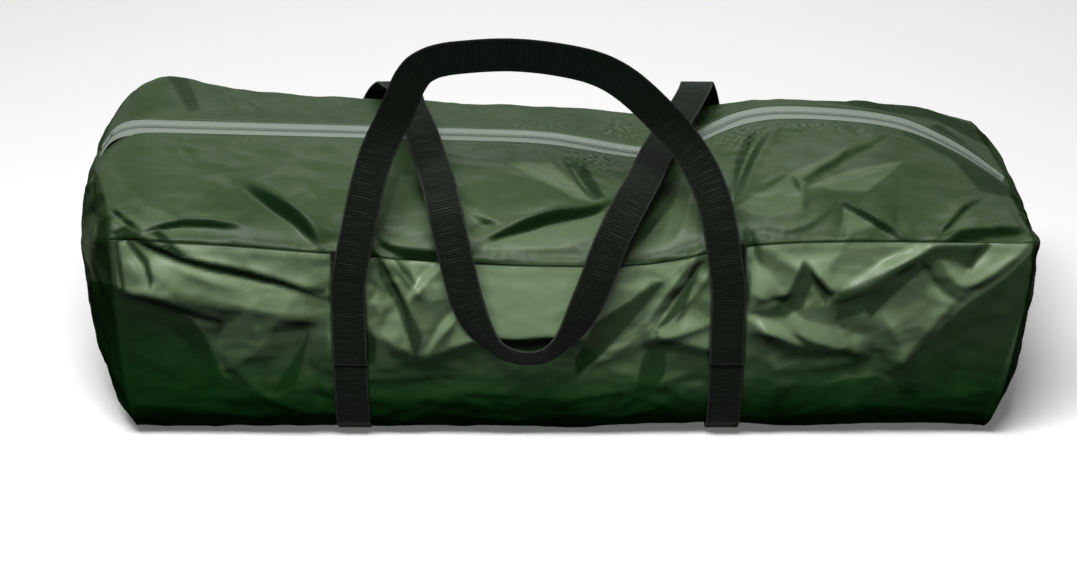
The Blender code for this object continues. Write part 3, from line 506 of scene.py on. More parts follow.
def makeMetalLook(name, colour, roughness):
    look, tree, shader = newLook(name, IOR=1.5, Metallic=1.0)
    place = addNode(tree, "TexCoord").outputs["Object"]
    grain = cloudy(tree, place, 350.0, 5.0)
    colour = layered(tree, colour, (spread(tree, grain, 0.4, 0.8, 0.0, 0.5), toned(colour, 0.6)),
                     (addWear(tree, place, 0.9, 500.0)["Mask"], toned(colour, 1.6)))
    tree.links.new(colour, shader["Base Color"])
    tree.links.new(spread(tree, grain, 0.3, 0.7, roughness - 0.08, roughness + 0.12), shader["Roughness"])
    bump(tree, shader, grain, 0.15, 0.0001)
    return look


looks = {
    # One cloth in three copies, each toned to how light falls on its part: the ends' copy is darker as painted shade,
    # and the base's copy takes the strongest painted highlight
    "cloth": makeClothLook("coated green cloth", 0.60, 0.25, 0.66),
    "clothDark": makeClothLook("coated green cloth, base", 0.66, 0.60, 1.0),
    "clothEnd": makeClothLook("coated green cloth, ends", 0.50, 0.03, 0.50),
    "web": makeWebLook("black webbing"),
    "tape": makeTapeLook("grey zip tape", (0.175, 0.215, 0.175), 0.62, 0.0007),
    "teeth": makeTapeLook("grey coil", (0.20, 0.245, 0.20), 0.42, 0.0004),
    "zinc": makeMetalLook("zinc alloy", (0.40, 0.41, 0.40), 0.34),
    "canvas": makeTapeLook("beige canopy cloth", (0.42, 0.38, 0.29), 0.80, 0.0009),
    "sheet": makeTapeLook("grey groundsheet", (0.10, 0.11, 0.12), 0.60, 0.0012),
    "steel": makeMetalLook("coated steel tube", (0.22, 0.23, 0.24), 0.38),
    "peg": makeMetalLook("bright steel rod", (0.50, 0.51, 0.52), 0.35),
    "webTie": makeTapeLook("black tie tape", (0.022, 0.024, 0.021), 0.75, 0.0012),
    "thread": makeTapeLook("green sewing thread", (0.030, 0.055, 0.026), 0.5, 0.0003),
    "webThread": makeTapeLook("black sewing thread", (0.010, 0.012, 0.010), 0.7, 0.0003, 0.05),
}
print("finishes made")


# Mesh helpers

def unit(vectors):
    return vectors / np.maximum(np.linalg.norm(vectors, axis=-1, keepdims=True), 1e-12)


def travelled(points):
    # Length of the way to each point of a path
    return np.concatenate([[0.0], np.cumsum(np.linalg.norm(np.diff(points, axis=0), axis=1))])


def pairGrid(first, second):
    return np.stack(np.meshgrid(first, second, indexing="ij"), axis=-1)


def addMesh(name, verts, faces, look, uvs, slot, body="bag"):
    mesh = bpy.data.meshes.new(name)
    mesh.from_pydata([tuple(v) for v in verts], [], [tuple(f) for f in faces])
    piece = bpy.data.objects.new(name, mesh)
    scene.collection.objects.link(piece)
    mesh.materials.append(looks[look])
    layer = mesh.uv_layers.new(name="cut")
    loops = np.zeros(len(mesh.loops), np.int32)
    mesh.loops.foreach_get("vertex_index", loops)
    layer.data.foreach_set("uv", np.asarray(uvs, np.float32)[loops].ravel())
    mesh.shade_smooth()
    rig.slot(piece, slot)
    if body:
        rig.ride(piece, body)
    return piece


def gridFaces(rows, columns, closed=False):
    i, j = np.meshgrid(np.arange(rows - 1), np.arange(columns if closed else columns - 1), indexing="ij")
    k = (j + 1) % columns
    near, far = i * columns, (i + 1) * columns
    return np.stack([near + j, near + k, far + k, far + j], axis=-1).reshape(-1, 4)


def closedFaces(rows, columns, verts):
    # Faces over rings of points with both ends filled, turned to point outwards
    quads = gridFaces(rows, columns, closed=True)
    faces = quads.tolist() + [list(range(columns))[::-1], list(range((rows - 1) * columns, rows * columns))]
    a, b, c, d = ((verts - verts.mean(0))[quads[:, k]] for k in range(4))
    if (np.cross(a, b) * c).sum() + (np.cross(a, c) * d).sum() < 0:
        faces = [face[::-1] for face in faces]
    return faces


def closedTube(name, rings, look, uvs, slot, body="bag"):
    verts = rings.reshape(-1, 3)
    return addMesh(name, verts, closedFaces(*rings.shape[:2], verts), look, uvs.reshape(-1, 2), slot, body)


def manyShapes(name, blocks, look, slot):
    # One mesh of many small closed shapes, each given by its rings of points
    count, rows, columns = blocks.shape[:3]
    shape = closedFaces(rows, columns, blocks[0].reshape(-1, 3))
    faces = [[k * rows * columns + i for i in face] for k in range(count) for face in shape]
    verts = blocks.reshape(-1, 3)
    return addMesh(name, verts, faces, look, verts[:, :2].copy(), slot)


def curveMatrix(count, places):
    # Weights that read a smooth curve through count points at fractional places
    matrix = np.zeros((len(places), count))
    for row, place in enumerate(places):
        i = int(min(max(place, 0), count - 1.000001))
        t = place - i
        weights = (-0.5 * t + t * t - 0.5 * t ** 3, 1 - 2.5 * t * t + 1.5 * t ** 3,
                   0.5 * t + 2 * t * t - 1.5 * t ** 3, -0.5 * t * t + 0.5 * t ** 3)
        for k, weight in zip(range(i - 1, i + 3), weights):
            if k < 0:
                matrix[row, 0] += 2 * weight
                matrix[row, 1] -= weight
            elif k >= count:
                matrix[row, count - 1] += 2 * weight
                matrix[row, count - 2] -= weight
            else:
                matrix[row, k] += weight
    return matrix


def smoothGrid(points, passes, along=True, across=True):
    for _ in range(passes):
        if along:
            points[1:-1] = 0.25 * points[:-2] + 0.5 * points[1:-1] + 0.25 * points[2:]
        if across:
            points[:, 1:-1] = 0.25 * points[:, :-2] + 0.5 * points[:, 1:-1] + 0.25 * points[:, 2:]
    return points


def evenRows(rows, step):
    # Rows of values, whose first three are a place, read again at even steps and eased
    lengths = travelled(rows[:, :3])
    wanted = np.linspace(0, lengths[-1], int(lengths[-1] / step) + 2)
    even = np.stack([np.interp(wanted, lengths, rows[:, k]) for k in range(rows.shape[1])], axis=-1)
    return smoothGrid(even, 1, across=False)


def gridNormals(points):
    return unit(np.cross(np.gradient(points, axis=0), np.gradient(points, axis=1)))


def ribbonRings(name, startKey, width):
    # Four corners at each place along a ribbon, from the end where startKey is lowest
    work = bmesh.new()
    work.from_mesh(nodes[name].data)
    bmesh.ops.remove_doubles(work, verts=work.verts, dist=1e-5)
    work.verts.index_update()
    # The end's two corners on each side of the ribbon, which is under 6 mm thick
    order = sorted(work.verts, key=lambda v: startKey(v.co))
    first = order[0].co.copy()
    near = [v for v in order if (v.co - first).length < 0.006][:2]
    far = [v for v in order if 0.8 < (v.co - first).length / width < 1.2][:2]
    ring = near + far
    rings, seen = [], set()
    while ring:
        rings.append([v.co.copy() for v in ring])
        seen.update(v.index for v in ring)
        others = (edge.other_vert(v) for v in ring for edge in v.link_edges)
        found = {v.index: v for v in others if v.index not in seen}
        ring = [found[i] for i in sorted(found)]
    work.free()
    return rings


# The bag's skin, read from the frame by rays towards an axis inside the bag

skin = {
    "axisHeight": 0.11, "reach": 0.5, "innerReach": 0.04,
    "coreStart": -0.352, "coreEnd": 0.352, "coreStep": 0.010, "endSteps": 7, "endReach": 0.09,
    "upperRows": 20, "baseRows": 72, "edgeTurn": 0.006, "inset": 1e-5,
    "tapeWidth": 0.0129,
    "tapeShown": 0.056,                 # angle at the axis by which more tape shows on each side
    "pitch": 0.0020,                    # spacing of the finished grid on the front
    "backPitch": 0.0030, "floorPitch": 0.0056, "floorHeight": 0.004,
}


def surfaceTree(names):
    verts, faces, owners = [], [], []
    for name in names:
        mesh = nodes[name].data
        start = len(verts)
        verts += [v.co.copy() for v in mesh.vertices]
        for polygon in mesh.polygons:
            faces.append([start + i for i in polygon.vertices])
            owners.append(name)
    return BVHTree.FromPolygons(verts, faces), owners


skinTree, skinOwners = surfaceTree((
    "front_upper_panel", "base_panel", "back_upper_panel", "left_end_panel", "right_end_panel",
    "front_zip_tape", "back_zip_tape",
))


def sideHit(x, angle):
    # Outermost point of the bag at an angle about its axis, and the node there
    way = Vector((0, cos(angle), sin(angle)))
    axis = Vector((x, 0, skin["axisHeight"]))
    place, _, index, _ = skinTree.ray_cast(axis + way * skin["reach"], -way, skin["reach"])
    # A ray into the narrow gap between two pieces goes right through
    if place is None or (place - axis).dot(way) < skin["innerReach"]:
        place, _, index, _ = skinTree.find_nearest(place or axis + way * skin["reach"])
        return place, "gap"
    return place, skinOwners[index]


def turningPoint(test, low, high, steps=18):
    # Where a test that holds at low stops holding on the way to high
    for _ in range(steps):
        middle = (low + high) / 2
        if test(middle):
            low = middle
        else:
            high = middle
    return low


def innerEdge(name, side):
    # The upper edge of a zip tape beside the teeth
    rings = ribbonRings(name, lambda c: c.x, skin["tapeWidth"])
    return np.array([max(ring, key=lambda c: c.z - 20 * side * c.y) for ring in rings if len(ring) == 4])


# Middle of the slot between the two tapes, and its angle about the axis
zipLine = (innerEdge("front_zip_tape", -1) + innerEdge("back_zip_tape", 1)) / 2
zipAngles = np.arctan2(zipLine[:, 2] - skin["axisHeight"], zipLine[:, 1])

edgeSearch = {
    # edge: panel, degrees of a place on the panel and of one past its edge, counted from the zip's
    # middle or from the horizontal, and the stretch along the bag
    "zipFront": ("front_upper_panel", 9, 0, -0.4150, 0.4030),
    "seamFront": ("front_upper_panel", 120, 170, -0.3870, 0.4050),
    "seamBack": ("back_upper_panel", 60, 10, -0.3785, 0.3895),
    "zipBack": ("back_upper_panel", -9, 0, -0.4150, 0.4030),
}


def readEdge(key):
    # Angles of one of the zip's edges, or of a side seam, along the bag
    node, inside, outside, lowX, highX = edgeSearch[key]
    places = np.linspace(lowX, highX, 84)
    found = []
    for x in places:
        base = float(np.interp(x, zipLine[:, 0], zipAngles)) if key.startswith("zip") else 0.0
        low, high = base + radians(inside), base + radians(outside)
        found.append(turningPoint(lambda a: sideHit(x, a)[1] == node, low, high))
    return places, np.array(found)


guides = {key: readEdge(key) for key in edgeSearch}
# The cloth's edges lie back from the teeth, so that the grey tape shows on both sides of them
guides["zipFront"][1][:] += skin["tapeShown"]
guides["zipBack"][1][:] -= skin["tapeShown"]


def guideAt(key, x):
    return float(np.interp(x, *guides[key]))


def panelAngles(startKey, endKey, count, turn=0.0):
    # Shares of the angle that space a panel's rows evenly, at places along the bag
    places = np.linspace(-0.375, 0.375, 62)
    table = []
    for x in places:
        first, last = guideAt(startKey, x), guideAt(endKey, x) + turn
        fine = np.linspace(first, last, 92)[1:-1]
        lengths = travelled(np.array([sideHit(x, a)[0] for a in fine]))
        table.append(np.interp(np.linspace(0, lengths[-1], count), lengths, (fine - first) / (last - first)))
    return places, np.array(table)


def panelControl(node, startKey, endKey, count, turn=0.0):
    # Control points of a panel, from its left end seam to its right one
    places, shares = panelAngles(startKey, endKey, count, turn)
    sign = 1 if guideAt(endKey, 0) + turn > guideAt(startKey, 0) else -1

    def hitAt(x, row):
        # An edge row is read just inside the panel
        share = float(np.interp(x, places, shares[:, row]))
        first, last = guideAt(startKey, x), guideAt(endKey, x) + turn
        nudge = {0: skin["edgeTurn"], count - 1: -skin["edgeTurn"]}.get(row, 0.0)
        return sideHit(x, first + (last - first) * share + sign * nudge)

    core = np.linspace(skin["coreStart"], skin["coreEnd"],
                       int(round((skin["coreEnd"] - skin["coreStart"]) / skin["coreStep"])) + 1)
    steps = np.linspace(0, 1, skin["endSteps"] + 1)[1:]
    control = np.zeros((len(core) + 2 * len(steps), count, 3))
    for row in range(count):
        left, right = (turningPoint(lambda x: hitAt(x, row)[1] == node, start, start + reach)
                       for start, reach in ((core[0], -skin["endReach"]), (core[-1], skin["endReach"])))
        xs = [*(core[0] + (left + skin["inset"] - core[0]) * steps[::-1]), *core,
              *(core[-1] + (right - skin["inset"] - core[-1]) * steps)]
        control[:, row] = [hitAt(x, row)[0] for x in xs]
    return control


upperFront = panelControl("front_upper_panel", "zipFront", "seamFront", skin["upperRows"])
upperBack = panelControl("back_upper_panel", "zipBack", "seamBack", skin["upperRows"])
baseSkin = panelControl("base_panel", "seamFront", "seamBack", skin["baseRows"], 2 * pi)
seamRows = (skin["upperRows"] - 1, skin["upperRows"] + skin["baseRows"] - 2)
print("skin read from the frame")


def joinSkin():
    # One grid round the bag, from the front edge of the zip to its back edge
    frontSeam = (upperFront[:, -1] + baseSkin[:, 0]) / 2
    backSeam = (upperBack[:, -1] + baseSkin[:, -1]) / 2
    around = np.concatenate([
        upperFront[:, :-1], frontSeam[:, None], baseSkin[:, 1:-1], backSeam[:, None], upperBack[:, -2::-1],
    ], axis=1)
    around = smoothGrid(around, 5, across=False)
    sewn = [0, *seamRows, -1]
    kept = around[:, sewn].copy()
    around = smoothGrid(around, 3, along=False)
    around[:, sewn] = kept
    return around


def finePlaces(points, pitchAt):
    # Fractional places along a curve, as close together as pitchAt asks
    steps = np.linalg.norm(np.diff(points, axis=0), axis=1)
    wanted = np.array([pitchAt((a + b) / 2) for a, b in zip(points, points[1:])])
    counts = np.concatenate([[0.0], np.cumsum(steps / wanted)])
    return np.interp(np.linspace(0, counts[-1], int(counts[-1]) + 2), counts, np.arange(len(points)))


def pitchAcross(point):
    if point[2] < skin["floorHeight"]:
        return skin["floorPitch"]
    return skin["backPitch"] if point[1] > 0 else skin["pitch"]


control = joinSkin()
section = control[len(control) // 2]
bounds = [0, *seamRows, len(section) - 1]
partPlaces = [first + finePlaces(section[first:last + 1], pitchAcross)
              for first, last in zip(bounds, bounds[1:])]
placesAcross = np.concatenate([partPlaces[0], partPlaces[1][1:], partPlaces[2][1:]])
tube = np.einsum("ai,ijc,bj->abc",
                 curveMatrix(control.shape[0], finePlaces(control[:, seamRows[0]], lambda p: skin["pitch"])),
                 control, curveMatrix(control.shape[1], placesAcross))
frontSeamRow = len(partPlaces[0]) - 1
backSeamRow = frontSeamRow + len(partPlaces[1]) - 1
lengthAlong, lengthAcross = travelled(tube[:, frontSeamRow]), travelled(tube[len(tube) // 2])
tubeUv = pairGrid(lengthAlong, lengthAcross)
print("skin grid", tube.shape, "seam rows", frontSeamRow, backSeamRow)


# Folds that the photograph shows: kind, depth in mm, width in pixels, and the
# pixels that the fold passes through. A lip is raised on the left of its run
# and lowered on the right of it, as the photograph is seen. A brow rises slowly
# from its left to its crest and falls away below it.

photoFolds = [
    # the belly, where the cloth turns under, and its bright facets
    ("brow", 5.5, 11, [(104, 286), (123, 289), (189, 299), (248, 309), (300, 318), (330, 324)]),
    ("brow", 5.5, 11, [(366, 326), (400, 346), (430, 352), (480, 336), (520, 335), (566, 334), (600, 347)]),
    ("brow", 5.0, 10, [(640, 340), (665, 338), (690, 345), (716, 350)]),
    ("brow", 6.0, 10, [(748, 330), (775, 329), (800, 334), (835, 347), (872, 356)]),
    ("brow", 4.0, 7, [(748, 292), (770, 297), (786, 293), (797, 275), (804, 261)]),
    ("brow", 4.5, 8, [(806, 262), (818, 277), (834, 289), (862, 276), (895, 260), (926, 246)]),
    ("brow", 3.0, 8, [(884, 374), (915, 345), (945, 312), (972, 286)]),
    ("brow", 3.0, 9, [(205, 340), (235, 368), (268, 396), (318, 414)]),
    ("brow", 2.5, 9, [(430, 398), (480, 393), (560, 398), (640, 388), (700, 372)]),
    # left end and its knot
    ("valley", 2.0, 7, [(112, 158), (127, 184), (148, 203), (182, 221)]),
    ("lip", 3.0, 6, [(134, 235), (156, 227), (183, 221), (212, 222), (243, 226)]),
    ("valley", 3.0, 4, [(104, 208), (120, 220), (138, 235)]),
    ("ridge", 2.0, 3, [(109, 205), (126, 217), (146, 231)]),
    ("lip", 3.5, 6, [(130, 236), (155, 243), (183, 251)]),
    ("lip", 4.5, 8, [(142, 243), (174, 253), (223, 264), (284, 279), (330, 296)]),
    ("ridge", 2.5, 5, [(113, 228), (118, 258), (128, 290)]),
    ("valley", 3.5, 5, [(118, 232), (132, 252), (148, 276), (152, 290)]),
    ("valley", 2.5, 4, [(113, 236), (115, 262), (121, 285)]),
    ("ridge", 1.6, 7, [(170, 266), (205, 278), (245, 290)]),
    ("lip", 2.5, 10, [(125, 290), (150, 294), (180, 305), (225, 318)]),
    ("lip", 5.0, 12, [(238, 180), (264, 191), (296, 211), (313, 230), (324, 248)]),
    ("valley", 1.2, 4, [(203, 174), (222, 171), (242, 171)]),
    ("valley", 1.3, 5, [(303, 181), (311, 192), (320, 203)]),
    ("valley", 1.6, 4, [(172, 146), (185, 152), (194, 162), (186, 166)]),
    ("ridge", 1.5, 5, [(128, 92), (140, 87), (155, 86)]),
    ("valley", 1.8, 5, [(178, 78), (186, 90), (192, 104)]),
    ("valley", 1.5, 5, [(222, 88), (228, 100), (236, 112)]),
    ("valley", 1.5, 5, [(246, 96), (262, 106), (282, 118)]),
    ("valley", 1.8, 6, [(345, 95), (338, 104), (326, 116)]),
    # lower left
    ("valley", 3.5, 8, [(222, 320), (219, 350), (226, 380)]),
    ("ridge", 3.0, 12, [(245, 310), (262, 345), (262, 385)]),
    ("valley", 3.0, 8, [(300, 318), (308, 360), (322, 410)]),
    ("ridge", 2.5, 9, [(325, 320), (330, 350), (338, 385)]),
    ("valley", 3.0, 12, [(150, 320), (190, 350), (205, 400)]),
    # between the left strap and the hanging handle
    ("lip", 3.5, 7, [(378, 236), (392, 246), (412, 250), (444, 253)]),
    ("lip", 4.0, 6, [(374, 248), (394, 279), (409, 310), (419, 358)]),
    ("ridge", 3.0, 5, [(384, 250), (404, 275), (428, 303)]),
    ("valley", 2.0, 4, [(366, 282), (376, 290), (370, 303)]),
    ("lip", 3.0, 6, [(455, 256), (432, 275), (408, 301)]),
    ("lip", 3.0, 6, [(474, 300), (450, 322), (428, 350)]),
    ("valley", 2.5, 7, [(395, 300), (384, 330), (388, 362)]),
    # inside the hanging handle
    ("lip", 4.5, 8, [(480, 242), (508, 229), (547, 215), (588, 208), (616, 198)]),
    ("ridge", 2.2, 6, [(506, 154), (547, 181), (594, 206)]),
    ("valley", 3.0, 6, [(566, 156), (580, 178), (600, 202)]),
    ("ridge", 2.0, 5, [(550, 150), (568, 174), (588, 200)]),
    ("lip", 1.6, 5, [(462, 210), (482, 217), (500, 225)]),
    ("valley", 1.5, 5, [(466, 236), (484, 226), (500, 224)]),
    ("lip", 2.0, 10, [(474, 333), (505, 337), (535, 336), (566, 331)]),
    # between the right straps
    ("valley", 3.5, 7, [(684, 178), (670, 205), (652, 232), (634, 252)]),
    ("ridge", 2.5, 7, [(694, 186), (688, 215), (676, 240)]),
    ("ridge", 3.0, 5, [(704, 246), (678, 280), (642, 326)]),
    ("valley", 3.0, 4, [(708, 256), (684, 290), (652, 330)]),
    ("ridge", 2.5, 4, [(712, 268), (694, 296), (668, 328)]),
    ("valley", 4.0, 9, [(694, 272), (690, 300), (680, 326)]),
    ("ridge", 3.5, 9, [(655, 336), (684, 330), (714, 322)]),
    # right of the right strap
    ("valley", 4.0, 7, [(768, 126), (750, 150), (738, 176), (732, 204)]),
    ("ridge", 3.0, 6, [(782, 120), (766, 146), (752, 172), (742, 200)]),
    ("valley", 3.5, 6, [(748, 226), (753, 250), (762, 282)]),
    ("lip", 4.0, 8, [(802, 345), (776, 332), (748, 317)]),
    ("valley", 4.0, 9, [(762, 292), (782, 303), (804, 318)]),
    ("lip", 2.8, 4, [(790, 174), (799, 184), (806, 196)]),
    ("lip", 3.0, 6, [(798, 183), (841, 155), (890, 132)]),
    ("ridge", 2.2, 5, [(806, 192), (845, 182), (880, 171), (902, 161)]),
    ("ridge", 1.8, 3, [(758, 190), (774, 180), (789, 171)]),
    ("lip", 3.0, 5, [(836, 197), (866, 214), (893, 230), (912, 240)]),
    ("ridge", 2.2, 4, [(760, 225), (780, 229), (800, 227), (822, 214), (836, 199)]),
    ("valley", 2.0, 5, [(845, 200), (844, 220), (843, 238)]),
    ("valley", 2.5, 5, [(895, 206), (899, 220), (908, 235)]),
    ("lip", 3.0, 4, [(936, 239), (950, 222), (964, 208), (984, 197)]),
    ("lip", 4.5, 7, [(938, 238), (962, 233), (1000, 230), (1036, 231)]),
    ("lip", 5.5, 11, [(936, 244), (904, 262), (871, 281), (832, 299)]),
    ("valley", 4.0, 6, [(804, 260), (814, 280), (830, 302)]),
    ("ridge", 3.0, 5, [(800, 256), (812, 268), (834, 294)]),
    ("ridge", 3.5, 7, [(938, 258), (948, 274), (964, 285), (990, 275), (1030, 247)]),
    ("valley", 4.0, 6, [(967, 272), (980, 256), (994, 241)]),
    ("valley", 3.0, 8, [(920, 262), (940, 290), (965, 305)]),
    # lower right
    ("ridge", 4.0, 14, [(880, 310), (900, 345), (905, 395)]),
    ("valley", 4.0, 12, [(835, 312), (845, 350), (850, 405)]),
    ("valley", 3.5, 11, [(950, 310), (955, 350), (960, 400)]),
    ("ridge", 3.0, 10, [(770, 350), (775, 380), (772, 415)]),
]
foldShape = {
    "depth": 0.00125,                         # metres for each mm of depth
    "brow": 3.0,                              # how much wider a brow's upper side is
    "reach": 4.5, "browReach": 9.0,           # how far from its line a fold is felt, in widths
    "endWidth": 0.45,                         # share of its width at a fold's two ends
    "lipTop": 1.8, "lipTrough": 0.7, "lipFoot": 1.5,
    "facetTilt": 0.0016, "facetEdge": 3.5,    # height in metres, and width of the edge in pixels
}

# Facets between the folds, by their corners in the photograph: how far each one
# is turned to the sky and takes painted highlight, or with a minus turned down and takes painted shade
facets = [
    # left end to the left strap
    (-0.08, [(182, 248), (223, 251), (284, 253), (324, 255), (324, 279), (304, 278), (264, 271), (223, 261),
             (194, 253)]),
    (0.15, [(151, 255), (172, 267), (194, 280), (223, 286), (253, 296), (284, 302), (328, 308), (329, 318),
            (304, 310), (264, 307), (233, 300), (202, 290), (172, 285), (153, 285)]),
    (-0.85, [(168, 249), (194, 259), (223, 267), (256, 275), (284, 282), (325, 288), (325, 293), (294, 288),
             (253, 281), (213, 272), (186, 263), (170, 255)]),
    (-0.08, [(117, 239), (139, 261), (151, 282), (150, 294), (124, 288), (120, 261)]),
    (-0.95, [(90, 280), (124, 288), (149, 295), (172, 308), (194, 320), (207, 339), (223, 376), (243, 390),
             (274, 402), (325, 420), (333, 438), (130, 430), (80, 300)]),
    (-0.35, [(172, 290), (202, 292), (233, 302), (264, 309), (304, 312), (328, 320), (326, 400), (300, 395),
             (243, 388), (223, 374), (207, 337), (194, 318)]),
    (-0.5, [(311, 324), (304, 343), (284, 373), (270, 394), (296, 384), (304, 359)]),
    (-0.5, [(160, 68), (186, 72), (200, 110), (188, 112), (172, 84)]),
    # the left end, round the corner, and the knot of folds at the corner
    (0.8, [(80, 222), (97, 210), (95, 240), (90, 266), (80, 262)]),
    (-0.7, [(98, 222), (111, 212), (114, 250), (119, 300), (104, 300), (93, 270)]),
    (-0.5, [(92, 190), (106, 196), (96, 215), (90, 210)]),
    (-0.9, [(151, 234), (159, 231), (174, 243), (187, 253), (179, 253), (162, 243)]),
    (-0.9, [(113, 231), (125, 225), (140, 236), (155, 241), (151, 245), (131, 241), (116, 241)]),
    (-0.8, [(114, 238), (118, 238), (123, 271), (125, 288), (122, 288), (117, 264)]),
    (-0.8, [(125, 241), (131, 241), (149, 260), (154, 278), (151, 288), (144, 264)]),
    # between the left strap and the hanging handle
    (0.4, [(400, 176), (414, 175), (432, 234), (403, 237), (384, 228)]),
    (0.6, [(407, 258), (437, 261), (451, 291), (453, 297), (432, 300), (414, 282)]),
    (0.5, [(373, 302), (395, 298), (393, 306), (380, 315)]),
    (0.6, [(460, 313), (477, 336), (455, 345), (449, 341)]),
    (-0.75, [(375, 260), (393, 280), (410, 306), (423, 334), (416, 360), (410, 341), (397, 308), (380, 280)]),
    (-0.7, [(393, 256), (410, 271), (427, 293), (414, 284), (401, 271)]),
    (-0.6, [(364, 317), (377, 339), (375, 365), (362, 360)]),
    # inside the hanging handle
    (0.75, [(508, 163), (551, 163), (594, 204), (577, 202), (529, 176)]),
    (0.6, [(486, 239), (540, 228), (605, 211), (594, 239), (555, 250), (481, 252)]),
    (0.6, [(461, 202), (499, 224), (468, 224)]),
    (-0.75, [(574, 165), (586, 165), (605, 198), (596, 200)]),
    (1.0, [(472, 263), (587, 265), (575, 308), (562, 334), (534, 333), (512, 336), (488, 336), (477, 319)]),
    (-0.35, [(366, 330), (400, 350), (430, 356), (480, 340), (520, 338), (560, 338), (590, 350), (640, 400),
             (555, 401), (468, 397), (360, 399)]),
    (-0.6, [(360, 399), (468, 397), (555, 401), (620, 391), (664, 404), (700, 393), (700, 440), (360, 440)]),
    # between the right straps
    (0.5, [(683, 174), (698, 198), (698, 239), (664, 252), (627, 259), (648, 234), (672, 204)]),
    (0.6, [(624, 262), (685, 261), (672, 276), (659, 280), (631, 300), (594, 321), (605, 302)]),
    (0.7, [(698, 250), (685, 287), (664, 317), (620, 352), (579, 380), (590, 367), (627, 334), (664, 302),
           (685, 274)]),
    (0.6, [(657, 328), (675, 319), (692, 315), (711, 330), (711, 350), (681, 339), (668, 336)]),
    (-0.8, [(651, 280), (664, 282), (629, 326), (601, 356), (577, 375), (575, 360), (594, 323), (631, 300)]),
    (-0.75, [(700, 269), (685, 308), (659, 328), (642, 360), (633, 404), (649, 401), (666, 371), (666, 343),
             (655, 330)]),
    # right of the right strap, above the seam and below it
    (-0.6, [(756, 131), (740, 165), (735, 199), (733, 185), (735, 158), (747, 135)]),
    (0.5, [(735, 208), (792, 174), (889, 133), (848, 156), (803, 187), (803, 212), (769, 217)]),
    (0.65, [(808, 187), (848, 169), (903, 162), (867, 192), (835, 192)]),
    (-0.6, [(803, 181), (848, 153), (837, 165), (808, 185)]),
    (0.5, [(844, 203), (878, 224), (846, 237)]),
    (-0.6, [(901, 133), (939, 124), (984, 158), (1018, 199), (1036, 217), (1007, 196), (980, 192),
            (950, 158)]),
    (-0.65, [(817, 100), (848, 92), (939, 100), (975, 112), (992, 149), (939, 122), (894, 113)]),
    (0.45, [(756, 241), (835, 239), (932, 242), (894, 264), (835, 290), (805, 260), (790, 260)]),
    (0.6, [(751, 253), (787, 291), (785, 294), (765, 298), (751, 307)]),
    (0.6, [(751, 319), (799, 316), (835, 325), (882, 340), (873, 356), (835, 353), (787, 339)]),
    (0.45, [(941, 260), (959, 280), (973, 285), (1007, 262), (1034, 239), (996, 242), (971, 271)]),
    (-0.75, [(939, 244), (993, 246), (973, 271), (957, 262), (939, 258), (907, 282), (871, 316), (864, 310),
             (835, 323), (837, 291), (882, 271), (928, 248)]),
    (-0.7, [(803, 260), (830, 294), (826, 305), (812, 285), (803, 307), (785, 316), (765, 315), (787, 294)]),
    (-0.8, [(1040, 244), (1007, 276), (962, 307), (928, 339), (885, 373), (916, 407), (980, 436),
            (1030, 294)]),
    (-0.7, [(747, 402), (826, 384), (878, 375), (916, 391), (978, 438), (826, 440), (742, 440)]),
]


def smoothPath(points, steps=9):
    points = np.array(points, float)
    return curveMatrix(len(points), np.linspace(0, len(points) - 1, (len(points) - 1) * steps + 1)) @ points


def nearPixels(pixels, seen, outline, reach):
    low, high = outline.min(0) - reach, outline.max(0) + reach
    return np.where(((pixels > low) & (pixels < high)).all(-1) & (seen > 0))[0]


def besidePath(spot, path):
    # Distance of each pixel from a path, the side it lies on, and its share of the path's length
    start, run = path[:-1], np.diff(path, axis=0)
    lengths = np.linalg.norm(run, axis=1)
    offset = spot[:, None] - start[None]
    share = np.clip((offset * run).sum(-1) / np.maximum(lengths ** 2, 1e-9), 0, 1)
    distance = np.linalg.norm(offset - share[..., None] * run, axis=-1)
    best, rows = distance.argmin(1), np.arange(len(spot))
    side = np.sign(run[best, 0] * offset[rows, best, 1] - run[best, 1] * offset[rows, best, 0])
    way = (np.cumsum(lengths) - lengths)[best] + share[rows, best] * lengths[best]
    return distance[rows, best], side, way / lengths.sum()


def addPhotoFolds(pixels, seen, lift):
    # Adds each fold to lift, for points that the camera sees
    for kind, depth, width, points in photoFolds:
        path = smoothPath(points)
        near = nearPixels(pixels, seen, path, foldShape["browReach" if kind == "brow" else "reach"] * width)
        if len(near) == 0:
            continue
        distance, side, t = besidePath(pixels[near], path)
        taper = np.sin(pi * np.clip(t, 0.02, 0.98)) ** 0.7
        if kind == "brow":
            taper = np.clip(8 * np.minimum(t, 1 - t), 0, 1)
        s = distance / (width * (foldShape["endWidth"] + (1 - foldShape["endWidth"]) * taper))
        # A crease is sharp at its line and fades slowly beside it
        if kind == "lip":
            deep, foot = foldShape["lipTrough"], foldShape["lipFoot"]
            fall = np.where(s < 1, 1 - (1 + deep) * s, -deep * np.exp(-np.maximum(s - 1, 0) / foot))
            shape = np.where(side < 0, np.exp(-s / foldShape["lipTop"]), fall)
        elif kind == "brow":
            shape = np.exp(-np.sqrt(s * s + 0.02) * np.where(side < 0, 1 / foldShape["brow"], 1.0))
        else:
            shape = np.exp(-1.25 * (np.sqrt(s * s + 0.03) - 0.17)) * (1 if kind == "ridge" else -1)
        lift[near] += foldShape["depth"] * depth * shape * taper * seen[near]
    return lift


